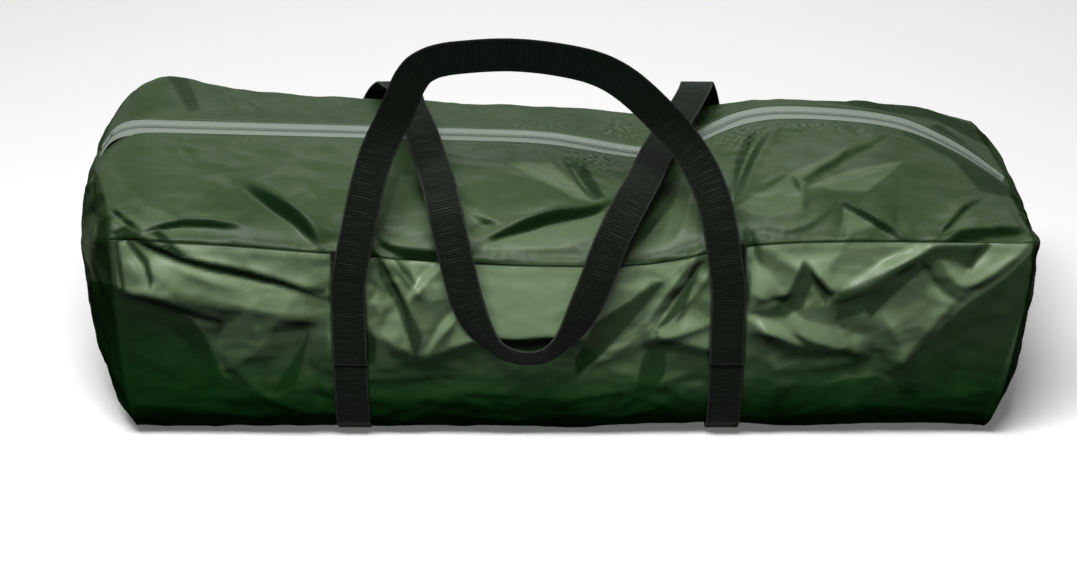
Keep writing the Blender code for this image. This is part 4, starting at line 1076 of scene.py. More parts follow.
def insideShare(spot, corners):
    # 1 well inside a facet, 0 well outside it
    inside = np.zeros(len(spot), bool)
    nearest = np.full(len(spot), 1e9)
    for a, b in zip(corners, np.roll(corners, -1, axis=0)):
        run = b - a
        share = np.clip(((spot - a) * run).sum(-1) / (run ** 2).sum(), 0, 1)
        nearest = np.minimum(nearest, np.linalg.norm(spot - a - share[:, None] * run, axis=1))
        crosses = (a[1] > spot[:, 1]) != (b[1] > spot[:, 1])
        meets = a[0] + (spot[:, 1] - a[1]) * run[0] / (run[1] if abs(run[1]) > 1e-9 else 1e-9)
        inside ^= crosses & (spot[:, 0] < meets)
    t = np.clip(0.5 + np.where(inside, nearest, -nearest) / foldShape["facetEdge"], 0, 1)
    return t * t * (3 - 2 * t)


def addFacets(pixels, seen, lift):
    # Tilts each facet about its middle, and gives its painted highlight or painted shade
    tone = np.zeros(len(pixels))
    for value, corners in facets:
        corners = np.array(corners, float)
        near = nearPixels(pixels, seen, corners, 5)
        if len(near) == 0:
            continue
        low, high = corners.min(0)[1], corners.max(0)[1]
        share = insideShare(pixels[near], corners) * seen[near]
        tilt = (pixels[near, 1] - (low + high) / 2) / (high - low)
        lift[near] += foldShape["facetTilt"] * value * tilt * share
        tone[near] += value * share
    return lift, np.clip(tone, -1, 1)


wrinkles = {
    "large": (17.0, 0.0042), "middle": (38.0, 0.0018), "small": (70.0, 0.0010),    # per metre, and height
    "frontShare": 0.62,                                       # the rest comes from the photograph's own folds
    "puckerPitch": 0.009, "puckerHeight": 0.0012, "puckerMiddle": 0.006, "puckerWidth": 0.007,
    "zipPucker": 1.3, "seamPucker": 0.25,                     # strength at the zip, and at a side seam
    "grooveDepth": 0.0012, "grooveWidth": 0.0018, "grooveMark": 0.0015,
    "spotGain": 1.6,
    "level": 0.004, "rise": 0.012,                            # the cloth lies level beside the zip
    "endShare": 0.25,                                         # of the folds' height at the end seams
    "gatherPitch": 0.0080, "gatherHeight": 0.0009, "gatherTone": 0.9,
}
# Places where the photograph shows puckers: middle pixel, half sizes and strength
puckerSpots = [
    (630, 128, 45, 22, 2.4), (600, 160, 45, 16, 1.2), (725, 128, 24, 26, 2.6), (850, 130, 80, 11, 1.9),
    (185, 152, 18, 14, 1.2), (270, 105, 60, 14, 1.0), (780, 200, 30, 22, 1.8), (112, 218, 14, 14, 2.0),
    (370, 285, 10, 26, 1.0), (420, 300, 36, 46, 0.5), (955, 225, 45, 16, 0.6), (470, 115, 60, 12, 0.5),
]
# Places where the zip's stitching gathers the cloth into rows of dimples
gatherSpots = [
    (622, 133, 26, 14, 1.0), (598, 160, 34, 11, 1.0), (547, 123, 40, 7, 0.6),
    (738, 130, 26, 16, 0.9), (822, 124, 42, 7, 0.9), (718, 110, 18, 8, 0.8),
]


creasing = {
    "squeeze": Vector((0.62, 1.0, 1.0)),                      # folds run a little longer along the bag
    "bendScale": 0.45, "bend": 0.9, "top": 0.35, "steepness": 1.6,
}


def crumple(points, scale, seed):
    # Creased noise: broad low facets with narrow raised folds between them, bent by a slower noise
    shift = Vector((seed, 2.3 * seed, 0.7 * seed))
    values = []
    for p in points.reshape(-1, 3):
        place = Vector(p) * scale * creasing["squeeze"] + shift
        bend = noise.noise_vector(place * creasing["bendScale"] + shift) * creasing["bend"]
        values.append(noise.noise(place + bend))
    return (creasing["top"] - np.abs(np.array(values)) * creasing["steepness"]).reshape(points.shape[:-1])


def spotShare(pixels, spots):
    share = np.zeros(len(pixels))
    for x, y, halfWide, halfHigh, strength in spots:
        d = ((pixels[:, 0] - x) / halfWide) ** 2 + ((pixels[:, 1] - y) / halfHigh) ** 2
        share = np.maximum(share, strength * np.exp(-d))
    return share


strapTree, _ = surfaceTree((
    "front_handle", "back_handle", "left_girth_strap", "right_girth_strap",
    "front_handle_end_left", "front_handle_end_right", "back_handle_end_left", "back_handle_end_right",
))


def strapRoom(points, normals, limit=0.02, below=0.004, clear=0.0012):
    # How far each point may rise before it meets the webbing over it
    room = np.full(len(points), limit)
    for i, (point, normal) in enumerate(zip(points, normals)):
        place, _, _, distance = strapTree.ray_cast(Vector(point - normal * below), Vector(normal), limit)
        if place is not None:
            room[i] = distance - below - clear
    return room


def seenShare(points, ways, start=-0.05, reach=0.15, backY=0.115):
    # 1 where the camera sees the front of the bag, 0 where the cloth looks away or lies at the back
    toCamera = cameraPlace - points
    facing = (toCamera * ways).sum(-1) / np.linalg.norm(toCamera, axis=1)
    return np.clip((facing - start) / reach, 0, 1) * (points[:, 1] < backY)


def foldTube(grid):
    outward = (grid - [0, 0, skin["axisHeight"]]) * [0, 1, 1]
    flip = np.sign((gridNormals(grid) * outward).sum(-1).mean())
    points, ways = grid.reshape(-1, 3), (gridNormals(grid) * flip).reshape(-1, 3)
    pixels = photoPixels(points)
    seen = seenShare(points, ways)
    lift, tone = addFacets(pixels, seen, addPhotoFolds(pixels, seen, np.zeros(len(points))))
    share = 1 - (1 - wrinkles["frontShare"]) * seen
    for size, seed in (("large", 3.1), ("middle", 5.9)):
        lift += share * wrinkles[size][1] * crumple(points, wrinkles[size][0], seed)
    small = crumple(points, wrinkles["small"][0], 8.7)
    spots = spotShare(pixels, puckerSpots) * seen
    lift += (share + wrinkles["spotGain"] * spots) * wrinkles["small"][1] * small
    lift, small, tone = (values.reshape(grid.shape[:2]) for values in (lift, small, tone))
    # Puckers along the sewn lines, and a narrow groove at each side seam
    across, lastRow = tubeUv[..., 1], grid.shape[1] - 1
    wave = np.sin(2 * pi * tubeUv[..., 0] / wrinkles["puckerPitch"] + 9 * small)
    wave *= np.clip(0.5 + 2.5 * small, 0, 1)
    for row in (0, frontSeamRow, backSeamRow, lastRow):
        atSeam = row in (frontSeamRow, backSeamRow)
        strength = wrinkles["seamPucker" if atSeam else "zipPucker"]
        d = np.abs(across - lengthAcross[row])
        pucker = np.exp(-((d - wrinkles["puckerMiddle"]) / wrinkles["puckerWidth"]) ** 2)
        lift += strength * wrinkles["puckerHeight"] * wave * pucker
        if atSeam:
            lift -= wrinkles["grooveDepth"] * np.exp(-(d / wrinkles["grooveWidth"]) ** 2)
        else:
            # The cloth lies level where it is sewn to the zip tape
            lift *= np.clip((d - wrinkles["level"]) / wrinkles["rise"], 0.0, 1.0)
    # Steep folds that cross the grid at a slant would show its steps
    lift = smoothGrid(lift[..., None], 1)[..., 0]
    dimples = [np.sin(2 * pi * tubeUv[..., k] / wrinkles["gatherPitch"] + (5 - k) * small) for k in (0, 1)]
    room = np.clip((np.minimum(across, across.max() - across) - 0.003) / 0.004, 0, 1)
    gathered = (spotShare(pixels, gatherSpots) * seen).reshape(lift.shape)
    dimpled = gathered * room * dimples[0] * dimples[1]
    lift += wrinkles["gatherHeight"] * dimpled
    # The dimples also take painted highlight and painted shade
    tone = np.clip(tone + wrinkles["gatherTone"] * dimpled, -1, 1)
    edge = np.minimum(lengthAlong, lengthAlong[-1] - lengthAlong)[:, None]
    lift *= np.clip(edge / wrinkles["rise"], wrinkles["endShare"], 1.0)
    lift = np.minimum(lift.ravel(), strapRoom(points, ways))
    folded = points + ways * lift[:, None]
    # The underside lies on the floor
    folded[:, 2] = np.maximum(folded[:, 2], 0.0)
    return folded.reshape(grid.shape), flip, tone


paintedShading = {
    # gain and threshold of the painted shade and painted highlight that folds make, by how far they turn the cloth
    # down or up
    "down": (2.6, 0.10), "up": (3.2, 0.08), "toneShare": 0.5,
    "underStart": 0.03, "underReach": 0.30, "under": 0.8,     # painted shade on cloth that faces the ground
}


def creaseMarks(smooth, creased, tone):
    # Painted shade and painted highlight on the cloth, from its folds, from facing the ground and from the facets
    turned = creased[..., 2] - smooth[..., 2]
    under = (paintedShading["underStart"] - creased[..., 2]) / paintedShading["underReach"]
    under = np.clip(under, 0, 1) * paintedShading["under"]
    gain, threshold = paintedShading["down"]
    shade = np.clip(-turned * gain - threshold - paintedShading["toneShare"] * np.maximum(tone, 0), 0, 1)
    shade = np.maximum(np.maximum(shade, under), -np.minimum(tone, 0))
    gain, threshold = paintedShading["up"]
    light = np.clip(np.clip(turned * gain - threshold, 0, 1) + np.maximum(tone, 0), 0, 1) * (1 - shade)
    return np.stack([shade, light], axis=-1)


def addPanel(name, grid, uv, flip, marks, look, replaced, hem=0.003):
    # The edges are turned in, so that the cloth shows a thickness
    rim = ((1, 1), (1, 1), (0, 0))
    wide = np.pad(grid - gridNormals(grid) * flip * hem, rim, mode="edge")
    wide[1:-1, 1:-1] = grid
    faces = gridFaces(*wide.shape[:2])
    if flip < 0:
        faces = faces[:, ::-1]
    uvs = np.pad(uv, rim, mode="edge").reshape(-1, 2)
    piece = addMesh(name, wide.reshape(-1, 3), faces, look, uvs, "bag_fabric")
    for k, label in enumerate(("creaseShade", "creaseLight")):
        layer = piece.data.attributes.new(label, "FLOAT", "POINT")
        layer.data.foreach_set("value", np.pad(marks[..., k], 1, mode="edge").ravel().astype(np.float32))
    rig.replaces(piece, replaced)


folded, flip, tone = foldTube(tube)
foldedNormals = gridNormals(folded) * flip
marks = creaseMarks(gridNormals(tube) * flip, foldedNormals, tone)
# Painted shade along each side seam's groove
for row in (frontSeamRow, backSeamRow):
    groove = np.exp(-((lengthAcross - lengthAcross[row]) / wrinkles["grooveMark"]) ** 2)
    marks[..., 0] = np.maximum(marks[..., 0], groove[None])
panels = {
    "front_upper_cloth": (0, frontSeamRow, "cloth", "front_upper_panel"),
    "base_cloth": (frontSeamRow, backSeamRow, "clothDark", "base_panel"),
    "back_upper_cloth": (backSeamRow, tube.shape[1] - 1, "cloth", "back_upper_panel"),
}
for name, (first, last, look, replaced) in panels.items():
    cut = slice(first, last + 1)
    addPanel(name, folded[:, cut], tubeUv[:, cut], flip, marks[:, cut], look, replaced)
print("panels made")


# End panels, each a square grid drawn to a disc and the disc to the seam's outline

endPanels = {
    # name: node, place of its seam on the skin's grid, and its way out along X
    "left_end_cloth": ("left_end_panel", 0, -1),
    "right_end_cloth": ("right_end_panel", -1, 1),
}
endCloth = {
    "steps": 111, "middleHeight": 0.115, "overlap": 0.0005, "innerShare": 0.985, "rimShare": 0.10,
    "wrinkle": (20.0, 0.0032), "fineWrinkle": (55.0, 0.0012),         # per metre, and height
    "spokes": 19, "spokeHeight": 0.0014, "spokeMiddle": 0.86, "fade": 0.08,
}


def seamAround(index, turn, middle):
    # The end seam, read at angles about the middle, with the zip's width bridged over the tape
    edge = folded[index]
    loop = np.concatenate([edge, np.linspace(edge[-1], edge[0], 9)[1:-1]])
    angles = np.unwrap(np.arctan2(loop[:, 2] - middle[2], loop[:, 1]))
    order = np.argsort(angles)
    angles, loop = angles[order], loop[order]
    span = angles[0] + (turn - angles[0]) % (2 * pi)
    angles, loop = np.append(angles, angles[0] + 2 * pi), np.concatenate([loop, loop[:1]])
    rim = np.stack([np.interp(span, angles, loop[:, k]) for k in range(3)], axis=-1)
    rim[..., 1:] += unit((rim - middle)[..., 1:]) * endCloth["overlap"]
    return rim


def makeEnd(name, node, index, outward):
    tree, _ = surfaceTree((node,))
    middle = np.array([0.0, 0.0, endCloth["middleHeight"]])
    line = np.linspace(-1, 1, endCloth["steps"])
    s, t = np.meshgrid(line, line, indexing="ij")
    radius = np.maximum(np.abs(s), np.abs(t))
    turn = np.where(radius == np.abs(s), np.where(s > 0, 0, pi) + (pi / 4) * t / np.where(s == 0, 1, s),
                    np.where(t > 0, pi / 2, -pi / 2) - (pi / 4) * s / np.where(t == 0, 1, t))
    rim = seamAround(index, turn, middle)
    grid = np.zeros((*radius.shape, 3))
    grid[..., 1:] = middle[1:] + (rim[..., 1:] - middle[1:]) * radius[..., None]
    depths = rim[..., 0].copy()
    for place in np.ndindex(radius.shape):
        y, z = middle[1:] + (grid[place][1:] - middle[1:]) * endCloth["innerShare"]
        hit, _, _, _ = tree.ray_cast(Vector((outward * 0.6, y, z)), Vector((-outward, 0, 0)), 0.5)
        if hit:
            depths[place] = hit.x
    share = np.clip((radius - (1 - endCloth["rimShare"])) / endCloth["rimShare"], 0, 1) ** 2
    grid[..., 0] = smoothGrid((depths * (1 - share) + rim[..., 0] * share)[..., None], 6)[..., 0]
    grid[..., 0] = np.where(radius > 0.999, rim[..., 0], grid[..., 0])
    smooth = gridNormals(grid)
    folds = sum(height * crumple(grid, scale, seed + outward)
                for (scale, height), seed in ((endCloth["wrinkle"], 5.0), (endCloth["fineWrinkle"], 7.0)))
    spokes = np.sin(turn * endCloth["spokes"] + 3 * np.sin(turn * 3)) * endCloth["spokeHeight"]
    spokes = spokes * np.exp(-((radius - endCloth["spokeMiddle"]) / 0.1) ** 2)
    grid[..., 0] += outward * (folds + spokes) * np.clip((1 - radius) / endCloth["fade"], 0, 1)
    grid[..., 2] = np.maximum(grid[..., 2], 0.0)
    normals = gridNormals(grid)
    flip = np.sign((normals[..., 0] * outward).mean())
    points, ways = grid.reshape(-1, 3), (normals * flip).reshape(-1, 3)
    _, tone = addFacets(photoPixels(points), seenShare(points, ways), np.zeros(len(points)))
    marks = creaseMarks(smooth * flip, normals * flip, tone.reshape(radius.shape))
    addPanel(name, grid, grid[..., 1:].copy(), flip, marks, "clothEnd", node)


for name, place in endPanels.items():
    makeEnd(name, *place)
print("end panels made")


# Webbing, rebuilt finely along the frame's own routes

webbing = {
    "width": 0.030, "thickness": 0.0018, "selvedge": 0.0022, "edgeBand": 0.0017,
    "rib": 0.0026, "ribHeight": 0.00016, "step": 0.00088, "topPoints": 13,
    "wander": 0.00025, "wanders": 40,         # how far its width varies, and how often in a metre
}


def ribbonFrames(rings, firstAcross, firstOut):
    # Middle, across and outward directions of each ring
    frames, across, out = [], Vector(firstAcross), Vector(firstOut)
    for ring in rings:
        if len(ring) != 4:
            continue
        first = ring[0]
        partner = min(ring[1:], key=lambda c: (c - first).length)
        others = [c for c in ring[1:] if c is not partner]
        wide = (others[0] + others[1]) / 2 - (first + partner) / 2
        thin = first - partner
        wide = wide.normalized() * (1 if wide.dot(across) > 0 else -1)
        thin = thin.normalized() * (1 if thin.dot(out) > 0 else -1)
        frames.append([*(sum(ring, Vector()) / 4), *wide, *thin])
        across, out = wide, thin
    return evenRows(np.array(frames), 0.004)


def webSection():
    # Outline of the webbing's section as (across, out) pairs, with rounded selvedges
    half, thick = webbing["width"] / 2, webbing["thickness"] / 2
    flat = np.linspace(-half + webbing["selvedge"], half - webbing["selvedge"], webbing["topPoints"])
    edge = [(half - 0.0014, thick * 1.12), (half - 0.0006, thick * 0.95), (half - 0.0001, thick * 0.45)]
    top = [(u, thick) for u in flat] + edge
    bottom = [(u, -v) for u, v in reversed(top)]
    return np.array(top + bottom + [(-u, -v) for u, v in edge] + [(-u, v) for u, v in reversed(edge)])


def frameAt(frames, places):
    fine = curveMatrix(len(frames), places) @ frames
    across = unit(fine[:, 3:6])
    out = fine[:, 6:] - (fine[:, 6:] * across).sum(1, keepdims=True) * across
    return fine[:, :3], across, unit(out)


def makeRibbon(name, frames, body="bag"):
    lengths = travelled(frames[:, :3])
    along = np.linspace(0, lengths[-1], int(lengths[-1] / webbing["step"]))
    middle, across, out = frameAt(frames, np.interp(along, lengths, np.arange(len(frames))))
    section = webSection()
    inner = np.abs(section[:, 0]) < webbing["width"] / 2 - webbing["edgeBand"]
    ribs = webbing["ribHeight"] * np.abs(np.sin(pi * along / webbing["rib"]))[:, None] * inner
    height = np.sign(section[:, 1]) * (np.abs(section[:, 1]) + ribs - webbing["ribHeight"] * inner)
    wander = np.array([noise.noise(Vector((s * webbing["wanders"], 3.0, 0))) for s in along])
    wide = section[:, 0] * (1 + webbing["wander"] * wander[:, None] / webbing["width"])
    rings = middle[:, None] + across[:, None] * wide[..., None] + out[:, None] * height[..., None]
    return closedTube(name, rings, "web", pairGrid(along, travelled(section)), "webbing", body)


def handleFrames(handle, side):
    # A sewn end, the handle and the other sewn end as one length of webbing
    width = webbing["width"]
    low = ribbonFrames(ribbonRings(handle + "_end_left", lambda c: c.z, width), (1, 0, 0), (0, side, 0))
    join, way = Vector(low[-1][:3]), Vector(low[-1][:3] - low[-2][:3])
    rings = ribbonRings(handle, lambda c: (c - join).dot(way) if (c - join).length < width else 9.0, width)
    loop = ribbonFrames(rings, low[-1][3:6], low[-1][6:])
    rings = ribbonRings(handle + "_end_right", lambda c: -c.z, width)
    return low, loop, ribbonFrames(rings, loop[-1][3:6], loop[-1][6:])


handles = {
    # node: side of the bag, and where the loop bends away from its sewn ends
    "front_handle": {"side": -1, "start": (0, -0.153, 0.131), "end": (0, -0.153, 0.147)},
    "back_handle": {"side": 1, "start": (0, 0.153, 0.110), "end": (0, 0.149, 0.124)},
}
webFrames = {}
for name, place in handles.items():
    low, loop, high = handleFrames(name, place["side"])
    webFrames[name + "_end_left"], webFrames[name + "_end_right"] = low, high
    ribbon = makeRibbon(name + "_webbing", np.concatenate([low, loop, high]), None)
    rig.replaces(ribbon, name, name + "_end_left", name + "_end_right")
    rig.blend(ribbon, "bag", name, start=place["start"], end=place["end"])
for name in ("left_girth_strap", "right_girth_strap"):
    rings = ribbonRings(name, lambda c: -c.z if c.y < 0 else 9.0, webbing["width"])
    webFrames[name] = ribbonFrames(rings, (1, 0, 0), (0, -1, 0))
    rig.replaces(makeRibbon(name.replace("strap", "webbing"), webFrames[name]), name)
print("webbing made", {name: len(frames) for name, frames in webFrames.items()})


# Stitching: each stitch is a short bar of thread, half sunk in what it holds

stitch = {
    "pitch": 0.0034, "length": 0.0027, "radius": 0.00036, "flat": 0.8, "sides": 6, "start": 0.0006,
    "aboveWeb": 0.0001, "aboveCloth": 0.00005,
    "boxLow": 0.07, "boxHigh": 0.90, "boxHalf": 0.0118,       # shares of a sewn end, and offset across it
    "strapLow": 0.004, "strapHigh": 0.996, "strapHalf": 0.0122,
}
# Sections of a stitch: share of its length, and size
stitchShape = [(0.0, 0.45), (0.22, 1.0), (0.78, 1.0), (1.0, 0.45)]


def stitchRow(points, normals):
    # Bars of thread along a path, each lying along it
    lengths = travelled(points)
    starts = np.arange(stitch["start"], lengths[-1] - stitch["length"], stitch["pitch"])

    def at(values, places):
        return np.stack([np.interp(places, lengths, values[:, k]) for k in range(3)], axis=-1)

    first = at(points, starts)
    way = at(points, starts + stitch["length"]) - first
    side = unit(np.cross(way, at(normals, starts)))
    up = unit(np.cross(side, way))
    turns = np.arange(stitch["sides"])[:, None] * 2 * pi / stitch["sides"]
    around = side[:, None] * np.cos(turns) + stitch["flat"] * up[:, None] * np.sin(turns)
    return np.stack([(first + way * share)[:, None] + stitch["radius"] * size * around
                     for share, size in stitchShape], axis=1)


def onRibbon(frames, first, last, count):
    # Points and normals of a line on a ribbon's outer face, between two places on it
    # that are given as share of its length and offset across
    line = np.linspace(first, last, count)
    lengths = travelled(frames[:, :3])
    places = np.interp(line[:, 0] * lengths[-1], lengths, np.arange(len(frames)))
    middle, across, out = frameAt(frames, places)
    return middle + across * line[:, 1:] + out * (webbing["thickness"] / 2 + stitch["aboveWeb"]), out


def boxLines():
    # The four sides of a sewn box, and its two diagonals
    low, high, half = stitch["boxLow"], stitch["boxHigh"], stitch["boxHalf"]
    corners = [(low, -half), (high, -half), (high, half), (low, half)]
    return [*zip(corners, corners[1:] + corners[:1]), (corners[0], corners[2]), (corners[3], corners[1])]


for name, frames in webFrames.items():
    lines, count = boxLines(), 24
    if name.endswith("girth_strap"):
        offsets = (-stitch["strapHalf"], stitch["strapHalf"])
        lines, count = [((stitch["strapLow"], k), (stitch["strapHigh"], k)) for k in offsets], 200
    rows = [stitchRow(*onRibbon(frames, *line, count)) for line in lines]
    manyShapes(name + "_stitching", np.concatenate(rows), "webThread", "webbing")
print("stitching made")


# Zip: two woven tapes, a coil on each, and the CAD sliders, pulls and stops with rounded edges

zipper = {
    "tapeReach": 0.0168, "tapeThickness": 0.0006, "tapeStep": 0.0020, "tapePoints": 34,
    "pitch": 0.0020, "coilReach": 0.0029, "coilTop": 0.00175, "slot": 0.00056, "turnWidth": 0.00062,
    "turnHeight": 0.44, "coilEnd": 0.0035,
    "flatReach": 0.0085, "under": 0.0010, "tuck": 0.0045, "tuckDrop": 0.0016,
    "rowsFromEdge": (0.0024, 0.0068),         # of the stitching that holds the cloth
}
# Ridges and grooves of a tape: distance from the middle line, width and height
tapeCords = [
    (0.0062, 0.0004, 0.00042), (0.0072, 0.0004, -0.00020),
    (0.0094, 0.0005, 0.00018), (0.0118, 0.0005, 0.00016),
]
# Sections of one turn of the coil, from its back to its head: share of the way to the slot, size
coilRings = [(0.00, 0.55), (0.18, 0.95), (0.50, 0.90), (0.76, 1.0), (0.92, 1.15), (1.0, 0.70)]


def zipFrames(step):
    # Places, tangents, ways across and ways out along the middle of the slot
    line = evenRows(zipLine, 0.010)
    lengths = travelled(line)
    along = np.linspace(0, lengths[-1], int(lengths[-1] / step) + 1)
    points = curveMatrix(len(line), np.interp(along, lengths, np.arange(len(line)))) @ line
    ways = unit(np.gradient(points, axis=0))
    across = unit(np.cross([0.0, 0.0, 1.0], ways))
    return along, points, ways, across, np.cross(ways, across)


def tapeDrop(points, across, up, side, reaches, above=0.01, limit=0.03):
    # How far each part of a tape goes down to pass under the cloth beside the zip
    drop = np.zeros((len(points), len(reaches)))
    for j in np.flatnonzero(reaches >= zipper["flatReach"]):
        for i in range(len(points)):
            start = points[i] + across[i] * side * reaches[j] + up[i] * above
            place, _, _, distance = skinTree.ray_cast(Vector(start), Vector(-up[i]), limit)
            if place is not None:
                drop[i, j] = min(0.0, above - distance - zipper["under"])
    return smoothGrid(drop, 4, across=False)


def makeTape(name, side, replaced):
    along, points, ways, across, up = zipFrames(zipper["tapeStep"])
    reach = np.linspace(zipper["slot"] + 0.0002, zipper["tapeReach"], zipper["tapePoints"])
    raised = sum(high * np.exp(-((reach - at) / wide) ** 2) for at, wide, high in tapeCords)
    top = [(side * r, h) for r, h in zip(reach, raised)]
    section = np.array(top + [(side * r, -zipper["tapeThickness"]) for r in reach[::-3]])
    reaches = np.abs(section[:, 0])
    rings = points[:, None] + across[:, None] * section[:, :1] + up[:, None] * section[:, 1:]
    rings += up[:, None] * tapeDrop(points, across, up, side, reaches)[..., None]
    # The ends are tucked under the end panels
    first, last = (rings[k] + ways[k] * sign * zipper["tuck"] - up[k] * zipper["tuckDrop"]
                   for k, sign in ((0, -1), (-1, 1)))
    rings = np.concatenate([first[None], rings, last[None]])
    along = np.concatenate([[-zipper["tuck"]], along, [along[-1] + zipper["tuck"]]])
    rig.replaces(closedTube(name, rings, "tape", pairGrid(along, reaches), "zip_tape"), replaced)


def makeCoil(name, side, shift, replaced):
    along, points, ways, across, up = zipFrames(zipper["pitch"] / 8)
    starts = np.arange(zipper["coilEnd"] + shift, along[-1] - zipper["coilEnd"], zipper["pitch"])
    places = np.interp(starts, along, np.arange(len(along))).round().astype(int)
    turns = np.arange(8)[:, None] * pi / 4 + pi / 8       # eight sides
    around = (ways[places][:, None] * (zipper["turnWidth"] * np.cos(turns))
              + up[places][:, None] * (zipper["turnHeight"] * zipper["coilTop"] * np.sin(turns)))
    rings = []
    for share, size in coilRings:
        reach = zipper["coilReach"] + (zipper["slot"] - zipper["coilReach"]) * share
        arch = zipper["coilTop"] * (0.50 + 0.06 * sin(pi * share))
        middle = points[places] + across[places] * side * reach + up[places] * arch
        rings.append(middle[:, None] + size * around)
    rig.replaces(manyShapes(name, np.stack(rings, axis=1), "teeth", "zip_teeth"), replaced)


def roundedCopy(node, name, look, slot, body, width, segments=3):
    # A merged copy of a CAD node with its edges rounded
    copy = nodes[node].copy()
    copy.data = nodes[node].data.copy()
    copy.name = name
    copy.parent = None
    for key in list(copy.keys()):
        if key.startswith("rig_"):
            del copy[key]
    scene.collection.objects.link(copy)
    bpy.ops.object.select_all(action="DESELECT")
    copy.select_set(True)
    bpy.context.view_layer.objects.active = copy
    bpy.ops.object.mode_set(mode="EDIT")
    bpy.ops.mesh.select_all(action="SELECT")
    bpy.ops.mesh.remove_doubles(threshold=1e-5)
    bpy.ops.mesh.dissolve_limited(angle_limit=radians(3))
    bpy.ops.object.mode_set(mode="OBJECT")
    bevel = copy.modifiers.new("rounded edges", "BEVEL")
    bevel.width, bevel.segments, bevel.limit_method, bevel.angle_limit = width, segments, "ANGLE", radians(32)
    bevel.use_clamp_overlap = True
    bpy.ops.object.modifier_apply(modifier=bevel.name)
    bpy.ops.object.shade_smooth_by_angle(angle=radians(35))
    copy.select_set(False)
    copy.data.materials.clear()
    copy.data.materials.append(looks[look])
    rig.slot(copy, slot)
    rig.ride(copy, body)
    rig.replaces(copy, node)


def edgeRow(distance, last):
    # A row of the folded cloth at a distance from the zip's edge, and its normals
    away = np.abs(lengthAcross - (lengthAcross[-1] if last else 0.0))
    row = np.abs(away - distance).argmin()
    return folded[:, row] + foldedNormals[:, row] * stitch["aboveCloth"], foldedNormals[:, row]


makeTape("front_woven_tape", -1, "front_zip_tape")
makeTape("back_woven_tape", 1, "back_zip_tape")
makeCoil("front_coil", -1, 0.0, "front_zip_teeth")
makeCoil("back_coil", 1, zipper["pitch"] / 2, "back_zip_teeth")
for side in ("left", "right"):
    for part, width in (("slider", 0.00035), ("pull", 0.00022)):
        node = side + "_zip_" + part
        roundedCopy(node, node + "_cast", "zinc", "zip_metal", node, width)
    roundedCopy(side + "_zip_stop", side + "_zip_stop_moulded", "teeth", "zip_teeth", "bag", 0.0006)
for name, last in (("front_zip_stitching", False), ("back_zip_stitching", True)):
    rows = [stitchRow(*edgeRow(distance, last)) for distance in zipper["rowsFromEdge"]]
    manyShapes(name, np.concatenate(rows), "thread", "bag_fabric")
print("zip made")


# What the bag holds: the rolled canopy with its ties, the folded groundsheet, the peg bag, poles and pegs

canopyRoll = {
    "layers": 9, "wrinkle": 0.0022, "rowStep": 0.0045, "around": 190, "endDepth": 0.0050, "clear": 0.0006,
    "endGap": 0.003, "edgeStep": 0.0022, "pinch": 0.0014, "pinchWidth": 0.022, "windHeight": 0.0011,
}
sheetPack = {
    "layers": 8, "wrinkle": 0.0016, "clear": 0.0008, "columns": 150, "corner": 0.012, "drawn": 0.06,
    "foldPoints": 7, "topPoints": 38,
}
pegPouch = {
    "wrinkle": 0.0016, "clear": 0.0006, "around": 120, "endPoints": 10, "sidePoints": 80,
    "endShare": 0.06, "endSize": 0.05, "mouthShare": 0.90, "mouthWidth": 0.012, "mouthDepth": 0.07,
    "slack": 0.05,
}


def boxOf(node, clear=0.0):
    low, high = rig.box(node)
    return np.array(low) + clear, np.array(high) - clear


def ringAt(x, centre, turns, wide, high):
    return np.stack([np.full(len(turns), x), centre[1] + wide * np.cos(turns),
                     centre[2] + high * np.sin(turns)], axis=-1)


def creaseDepth(points, scale, seed, height):
    return np.abs(crumple(points, scale, seed) - creasing["top"]) * height


def drawnIn(rings, middle, depth):
    # Rings moved towards the line along X through their middle
    return rings - unit((rings - middle) * [0, 1, 1]) * depth[..., None]


def makeCanopyRoll():
    # A roll of cloth with the turns showing at its ends, drawn in a little under its ties
    low, high = boxOf("canopy_bundle")
    centre, half = (low + high) / 2, (high - low) / 2
    radius = min(half[1], half[2]) - canopyRoll["clear"]
    turns = np.linspace(0, 2 * pi, canopyRoll["around"], endpoint=False)
    xs = np.arange(low[0] + canopyRoll["endGap"], high[0] - canopyRoll["endGap"], canopyRoll["rowStep"])
    around = np.array([ringAt(x * 0.5, np.zeros(3), turns, radius, radius) for x in xs])
    rough = creaseDepth(around, 30.0, 4.4, canopyRoll["wrinkle"])
    ties = [sum(corner[0] for corner in boxOf(name)) / 2 for name in ("canopy_tie_left", "canopy_tie_right")]
    pinch = sum(canopyRoll["pinch"] * np.exp(-((xs - tie) / canopyRoll["pinchWidth"]) ** 2) for tie in ties)
    # The free edge of the cloth lies on the roll
    edge = canopyRoll["edgeStep"] * (turns / (2 * pi))
    sizes = radius - canopyRoll["edgeStep"] + edge - rough - pinch[:, None]
    rings = [ringAt(x, centre, turns, size, size) for x, size in zip(xs, sizes)]
    # Each end goes in by steps, four to a layer
    count = canopyRoll["layers"] * 4
    ends = []
    for side, ring in ((-1, rings[0]), (1, rings[-1])):
        steps = []
        for share in 1 - np.arange(1, count) / count:
            wind = canopyRoll["windHeight"] * np.sin(2 * pi * (canopyRoll["layers"] * share) + turns)
            inner = centre + (ring - centre) * [0, share, share]
            inner[:, 0] = ring[0, 0] + side * (wind - canopyRoll["endDepth"] * (1 - share) * 0.5)
            steps.append(inner)
        ends.append(steps)
    grid = np.concatenate([ends[0][::-1], rings, ends[1]])
    uvs = pairGrid(np.linspace(0, 1, len(grid)) * (high[0] - low[0]), turns * radius)
    roll = closedTube("canopy_roll", grid, "canvas", uvs, "canopy_cloth")
    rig.replaces(roll, "canopy_bundle")
    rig.padded(roll, fill=0.8)


